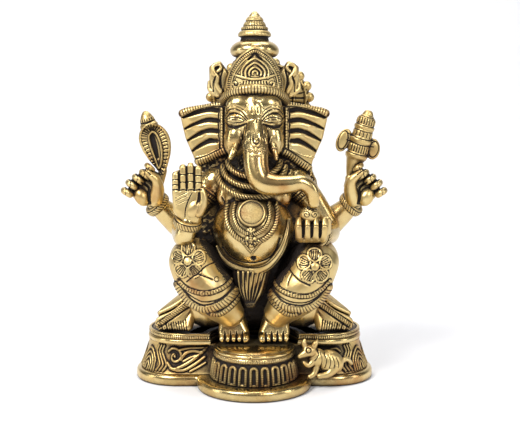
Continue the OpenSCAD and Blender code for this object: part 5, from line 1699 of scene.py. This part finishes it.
@dataclass
class Crown:
    """The crown: dome, brow band, pointed front plate, side scrolls, collar, finial and halo."""

    centre: tuple = (0.3, 2.0)
    radius: float = 15.4
    foot: float = 145.0
    top: float = 167.0

    def dome(self, shop: Workshop) -> None:
        """The patterned dome behind the front plate."""
        profile = smooth_line([(10, self.foot), (self.radius - 0.6, self.foot), (self.radius, 149), (self.radius - 0.6, 155), (self.radius - 2.6, 160),
                               (self.radius - 4.6, 164), (self.radius - 6.2, self.top)], 8)
        relief = Relief(turned((*self.centre, 0), profile, count=420))
        relief.item.name = "crown_dome"
        turn = np.arctan2(relief.co[:, 0] - self.centre[0], -(relief.co[:, 1] - self.centre[1]))
        flat = np.column_stack([turn * self.radius, relief.co[:, 2]])
        everywhere = np.full(len(flat), True)
        for z in (149.6, 155.6, 161.4):
            relief.ridge([(x, z) for x in np.linspace(-48, 48, 30)], 0.5, 0.4, flat, everywhere, steps=1)
            for k in range(-18, 19):
                relief.disc((k * 2.6 + (1.3 if z == 155.6 else 0), z + 2.9), 1.05, 0.5, flat, everywhere)
        shop.figure(relief, ["crown_dome"], Finish.CARVED, near_gain=4.0, far_gain=0.5)

    def band(self, shop: Workshop) -> None:
        """The hatched cord over the brow."""
        cx, cy = self.centre
        line = [(cx + self.radius * math.cos(a), cy + self.radius * math.sin(a) - 0.6, 145.0 - 6.2 * math.sin(a), 2.4)
                for a in np.radians(np.linspace(180, 360, 17))]
        relief = Relief(fuse("crown_band", [limb(line, 28, 8)], 0.26, 1))
        turn = np.arctan2(relief.co[:, 0] - cx, -(relief.co[:, 1] - cy))
        relief.phase = turn * self.radius / 1.35
        relief.hatch = np.where(relief.no[:, 2] < 0.6, 0.8, 0.1)
        shop.figure(relief, ["crown_band"], Finish.SATIN, near_gain=2.0, far_gain=0.2)

    def arch(self, shop: Workshop) -> None:
        """The pointed front plate with its border, nested arches and curls."""
        cx, cy = self.centre
        parts = []
        corners = [(-66, 152), (-52, 159), (-36, 165), (-16, 168.6), (0, 170.4), (16, 168.6), (36, 165), (52, 159), (66, 152)]
        balls = []
        for degrees, z in corners:
            a = math.radians(degrees)
            r = self.radius - 0.2 - (z - 152) * 0.19
            balls.append((cx + r * math.sin(a), cy - r * math.cos(a) - 0.8, z, 1.3))
            balls.append((cx + (self.radius - 0.2) * math.sin(a), cy - (self.radius - 0.2) * math.cos(a) - 0.8, 150.6, 1.3))
        parts.append(pad(balls, 24))
        relief = Relief(fuse("crown_arch", parts, 0.24, 4))
        where = relief.facing(least=0.0)
        rim = [(-13.4, 150.5), (-13.2, 154.5), (-11.2, 160.2), (-7.2, 165.8), (-3.2, 169.0), (0.6, 170.8), (4.4, 169.0), (8.4, 165.8), (12.2, 160.2), (14, 154.5), (14.2, 150.5)]
        middle = np.array((0.4, 153.0))
        for share, width, height, pitch in ((1.0, 0.55, 0.6, 0.0), (0.915, 0.8, 0.35, 1.0), (0.82, 0.5, 0.65, 0.0), (0.755, 0.42, 0.3, 0.8)):
            relief.ridge([middle + (np.array(p) - middle) * share for p in rim], width, height, where=where, pitch=pitch, edge=1.1)
        relief.groove([(-2.2, 165.4), (0.6, 168.0), (3.4, 165.4)], 0.8, 0.8, where=where)
        for w, h in ((6.5, 6.2), (4.7, 4.4), (2.9, 2.6), (1.2, 1.1)):
            angles = np.radians(np.linspace(-22, 202, 15))
            onion = [(0.6 + w * math.cos(a), 158.4 + h * math.sin(a) + 0.16 * h * max(math.sin(a), 0) ** 12) for a in angles]
            relief.ridge(onion, 0.5, 0.65, where=where, edge=1.2)
        relief.ridge([(-10.5, 158.6), (-7.8, 157.4), (-4, 156.2), (0.4, 155.6), (4.8, 156.2), (9, 157.4), (11.8, 158.6)], 0.6, 0.7, where=where, edge=1.1)
        for s, x in ((-1, -8.9), (1, 8.6)):
            coil = [(x - s * (0.3 + 0.0052 * a) * math.cos(math.radians(a)), 153.6 + (0.3 + 0.0052 * a) * math.sin(math.radians(a))) for a in range(0, 400, 40)]
            relief.ridge(coil, 0.5, 0.6, where=where, edge=1.0)
            relief.ridge([(x + s * 3.6, 151), (x + s * 4.2, 155), (x + s * 3.0, 159)], 0.5, 0.5, where=where)
        for k in range(9):
            x = -5.6 + 1.55 * k
            relief.groove([(x, 151.6 + 0.02 * x * x), (x * 0.9, 154.6)], 0.34, 0.4, where=where)
        shop.figure(relief, ["crown_arch"], Finish.SATIN, near_gain=4.5, far_gain=0.8)

    def scroll(self, shop: Workshop, side: int, name: str) -> None:
        """A curled ornament beside the crown.

        Args:
            shop: the workshop.
            side: -1 for the deity's right, 1 for its left.
            name: "right" or "left".
        """
        body = [(-15.4, -1.6, 149.4, 2.4), (-19.0, -1.6, 149.4, 1.8), (-20.4, -1.6, 156, 1.9), (-20.6, -1.8, 161.4, 1.8), (-17.4, -1.8, 163.4, 1.6), (-14.2, -1.6, 158, 2.2)]
        curl = [(-16.4, -3.4, 150.0, 1.3), (-18.4, -3.8, 153.4, 1.3), (-18.0, -4.0, 156.6, 1.2), (-20.0, -3.8, 159.4, 1.3), (-20.2, -3.4, 162.2, 1.2), (-17.8, -3.4, 163.4, 1.1), (-16.4, -3.6, 161.4, 1.0), (-17.8, -4.0, 160.0, 0.8)]
        lead = [(-18, -2, 148.6, 1.7), (-22.0, -1, 151.0, 1.3), (-22.2, -0.6, 154.6, 1.1)]
        parts = [pad(mirrored(body, side))] + [limb(mirrored(line, side), 24, 8) for line in (curl, lead)]
        relief = Relief(fuse(f"crown_scroll_{name}", parts, 0.24, 2))
        where = relief.facing(least=0.0)
        relief.groove(mirrored([(-20.2, 150), (-20.4, 154), (-19.0, 157.4)], side), 0.4, 0.5, where=where)
        relief.groove(mirrored([(-16.2, 152), (-16.6, 156), (-15.6, 160)], side), 0.4, 0.5, where=where)
        relief.groove(mirrored([(-19.0, 161.4), (-17.4, 162.2)], side), 0.4, 0.5, where=where)
        shop.figure(relief, [f"crown_scroll_{name}"], Finish.SATIN, near_gain=4.0, far_gain=1.0)

    def collar(self, shop: Workshop) -> None:
        """The cushion-shaped collar above the plate."""
        profile = [(2.4, 0), (8.7, 0), (11.3, 1), (12.3, 3), (11.8, 5), (10.1, 6.8), (7.7, 7.9), (4, 8)]
        relief = Relief(turned((*self.centre, self.top), smooth_line(profile, 8), count=240))
        relief.item.name = "crown_collar"
        shop.figure(relief, ["crown_collar"], near_gain=1.0, far_gain=0.1)

    def finial(self, shop: Workshop) -> None:
        """The turned finial: neck, flared skirt, hatched ring, patterned bell and tip."""
        profile = [(0.5, -4), (2.4, -4), (2.5, -0.2), (6.8, 0), (7.0, 0.9), (6.9, 1.8), (7.6, 2.1), (8.2, 2.5), (8.3, 3.3), (7.9, 4.2), (7.1, 5.0), (6.5, 5.3), (6.8, 5.7),
                   (6.8, 6.4), (6.3, 7.0), (5.7, 7.2), (5.7, 7.8), (5.3, 8.8), (4.7, 9.5), (4.3, 9.7), (4.5, 10.3), (4.0, 11.3), (3.2, 12.0), (2.8, 12.3), (2.6, 12.9), (1.6, 14.0), (0.7, 14.75)]
        z0 = self.top + 8
        relief = Relief(turned((*self.centre, z0), smooth_line(profile, 4), count=200))
        relief.item.name = "crown_finial"
        turn = np.arctan2(relief.co[:, 0] - self.centre[0], -(relief.co[:, 1] - self.centre[1]))
        h = relief.co[:, 2] - z0
        for low, high, pitch, amount in ((2.6, 4.2, 1.4, 0.5), (5.5, 6.9, 1.05, 0.9), (7.4, 9.4, 1.5, 0.8), (10.0, 11.9, 1.1, 0.7)):
            inside = (h > low) & (h < high)
            relief.phase = np.where(inside, turn * 6 / pitch, relief.phase)
            relief.hatch = np.where(inside, amount, relief.hatch)
        for low, high in ((0.2, 2.0), (5.0, 5.4), (7.0, 7.3), (9.5, 9.9)):
            relief.stain_and_shade = np.maximum(relief.stain_and_shade, np.where((h > low) & (h < high), 0.85, 0))
        shop.figure(relief, ["crown_finial"], Finish.SATIN, near_gain=3.0, far_gain=0.4)

    def halo(self, shop: Workshop) -> None:
        """The scalloped plate behind the crown."""
        cx, cy, cz, half_w, half_h = 3.0, 15.0, 147.0, 28.3, 21.5
        edge = [(cx + (half_w - 4) * math.cos(a), cy, cz + (half_h - 4) * math.sin(a), 1.4) for a in np.linspace(0, TAU, 24, endpoint=False)]
        parts = [pad(edge, 16)]
        for k in range(15):
            a = math.radians(-34 + 17.7 * k)
            parts.append(ball((cx + (half_w - 2.7) * math.cos(a), cy, cz + (half_h - 2.7) * math.sin(a)), (2.6, 2.1, 2.6)))
        relief = Relief(fuse("halo", parts, 0.5, 2))
        for where in (relief.facing(), relief.facing((0, 1, 0))):
            for share in (0.84, 0.62, 0.4):
                ring = [(cx + half_w * share * math.cos(a), cz + half_h * share * math.sin(a)) for a in np.linspace(0, TAU, 36, endpoint=False)]
                relief.ridge(ring, 0.6, 0.5, where=where, closed=True, steps=3)
            for k in range(40):
                a = k * TAU / 40
                relief.groove([(cx + half_w * t * math.cos(a), cz + half_h * t * math.sin(a)) for t in (0.45, 0.78)], 0.35, 0.4, where=where)
        shop.figure(relief, ["halo"], Finish.CARVED, near_gain=4.0, far_gain=0.8)

    def build(self, shop: Workshop) -> None:
        """Builds the crown."""
        self.halo(shop)
        self.dome(shop)
        self.band(shop)
        self.arch(shop)
        for side, name in ((-1, "right"), (1, "left")):
            self.scroll(shop, side, name)
        self.collar(shop)
        self.finial(shop)


# ---------------------------------------------------------------- studio


@dataclass
class Studio:
    """White sweep, soft lights and camera."""

    eye: tuple = (3.0, -461.75, 140.0)
    pitch: float = 6.8
    lens: float = 62.86

    def sweep(self) -> None:
        """Builds the curved paper under and behind the statue."""
        rows = [(-1.6, 0.0)] + [(0.9 - 0.5 * math.cos(a), 0.5 - 0.5 * math.sin(a)) for a in np.linspace(math.pi / 2, 0, 16)] + [(1.4, 2.4)]
        rows = [(-1.6, 0.0), (0.5, 0.0)] + [(0.5 + 0.6 * math.sin(a), 0.6 - 0.6 * math.cos(a)) for a in np.linspace(0.1, math.pi / 2, 14)] + [(1.1, 2.4)]
        points = [(x / MM, y / MM, z / MM) for y, z in rows for x in (-2.2, 2.2)]
        faces = [(2 * k, 2 * k + 1, 2 * k + 3, 2 * k + 2) for k in range(len(rows) - 1)]
        item = solid("paper_sweep", np.array(points), faces)
        item.data.materials.append(StudioPaper().build())
        take(item)
        bpy.ops.object.shade_smooth()

    def light(self, name: str, place: Point, target: Point, size: Point, power: float, tint: str = "#FFFFFF") -> None:
        """Adds a soft box.

        Args:
            name: its name.
            place: where it stands, in metres.
            target: where it points.
            size: its width and height, in metres.
            power: its power, in watts.
            tint: its colour.
        """
        lamp = bpy.data.lights.new(name, "AREA")
        lamp.shape, lamp.size, lamp.size_y, lamp.energy, lamp.color = "RECTANGLE", size[0], size[1], power, linear(tint)[:3]
        item = bpy.data.objects.new(name, lamp)
        item.location = place
        item.rotation_euler = (Vector(target) - Vector(place)).to_track_quat("-Z", "Y").to_euler()
        bpy.context.scene.collection.objects.link(item)

    def build(self) -> None:
        """Builds the sweep, the lights, the world and the camera."""
        self.sweep()
        aim = (0.0, 0.0, 0.1)
        self.light("key", (-0.62, -0.75, 0.95), aim, (0.45, 0.45), 17)
        self.light("fill", (0.55, -0.9, 0.7), aim, (0.25, 0.5), 6)
        self.light("edge", (0.95, -0.3, 0.35), aim, (0.12, 0.6), 1.6)
        self.light("strip", (-0.95, -0.2, 0.3), aim, (0.12, 0.6), 1.6)
        self.light("top", (0.1, -0.1, 1.3), aim, (0.4, 0.3), 3.5)
        self.light("floor", (0.0, 0.6, 1.6), (0.0, 0.75, 0.0), (1.6, 0.6), 13)
        world = bpy.data.worlds.new("studio")
        world.use_nodes = True
        world.node_tree.nodes["Background"].inputs[0].default_value = linear("#FFFFFF")
        world.node_tree.nodes["Background"].inputs[1].default_value = 0.1
        scene = bpy.context.scene
        scene.world = world
        scene.view_settings.view_transform = "Standard"
        camera = bpy.data.cameras.new("camera")
        camera.sensor_width, camera.lens, camera.sensor_fit = 36.0, self.lens, "HORIZONTAL"
        camera.clip_start, camera.clip_end = 0.01, 10.0
        item = bpy.data.objects.new("camera", camera)
        item.location = Vector(self.eye) * MM
        item.rotation_euler = (math.radians(90 - self.pitch), 0, 0)
        scene.collection.objects.link(item)
        scene.camera = item


def main() -> None:
    """Builds the statue and its studio."""
    logging.basicConfig(level=logging.INFO, format="%(message)s")
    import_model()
    shop = Workshop(Datum.from_frame())
    Base.from_frame().build(shop)
    Mouse().build(shop)
    Body().build(shop)
    Cloth().build(shop)
    Legs().build(shop)
    Arms().build(shop)
    Head().build(shop)
    Crown().build(shop)
    Studio().build()


if __name__ == "__main__":
    main()
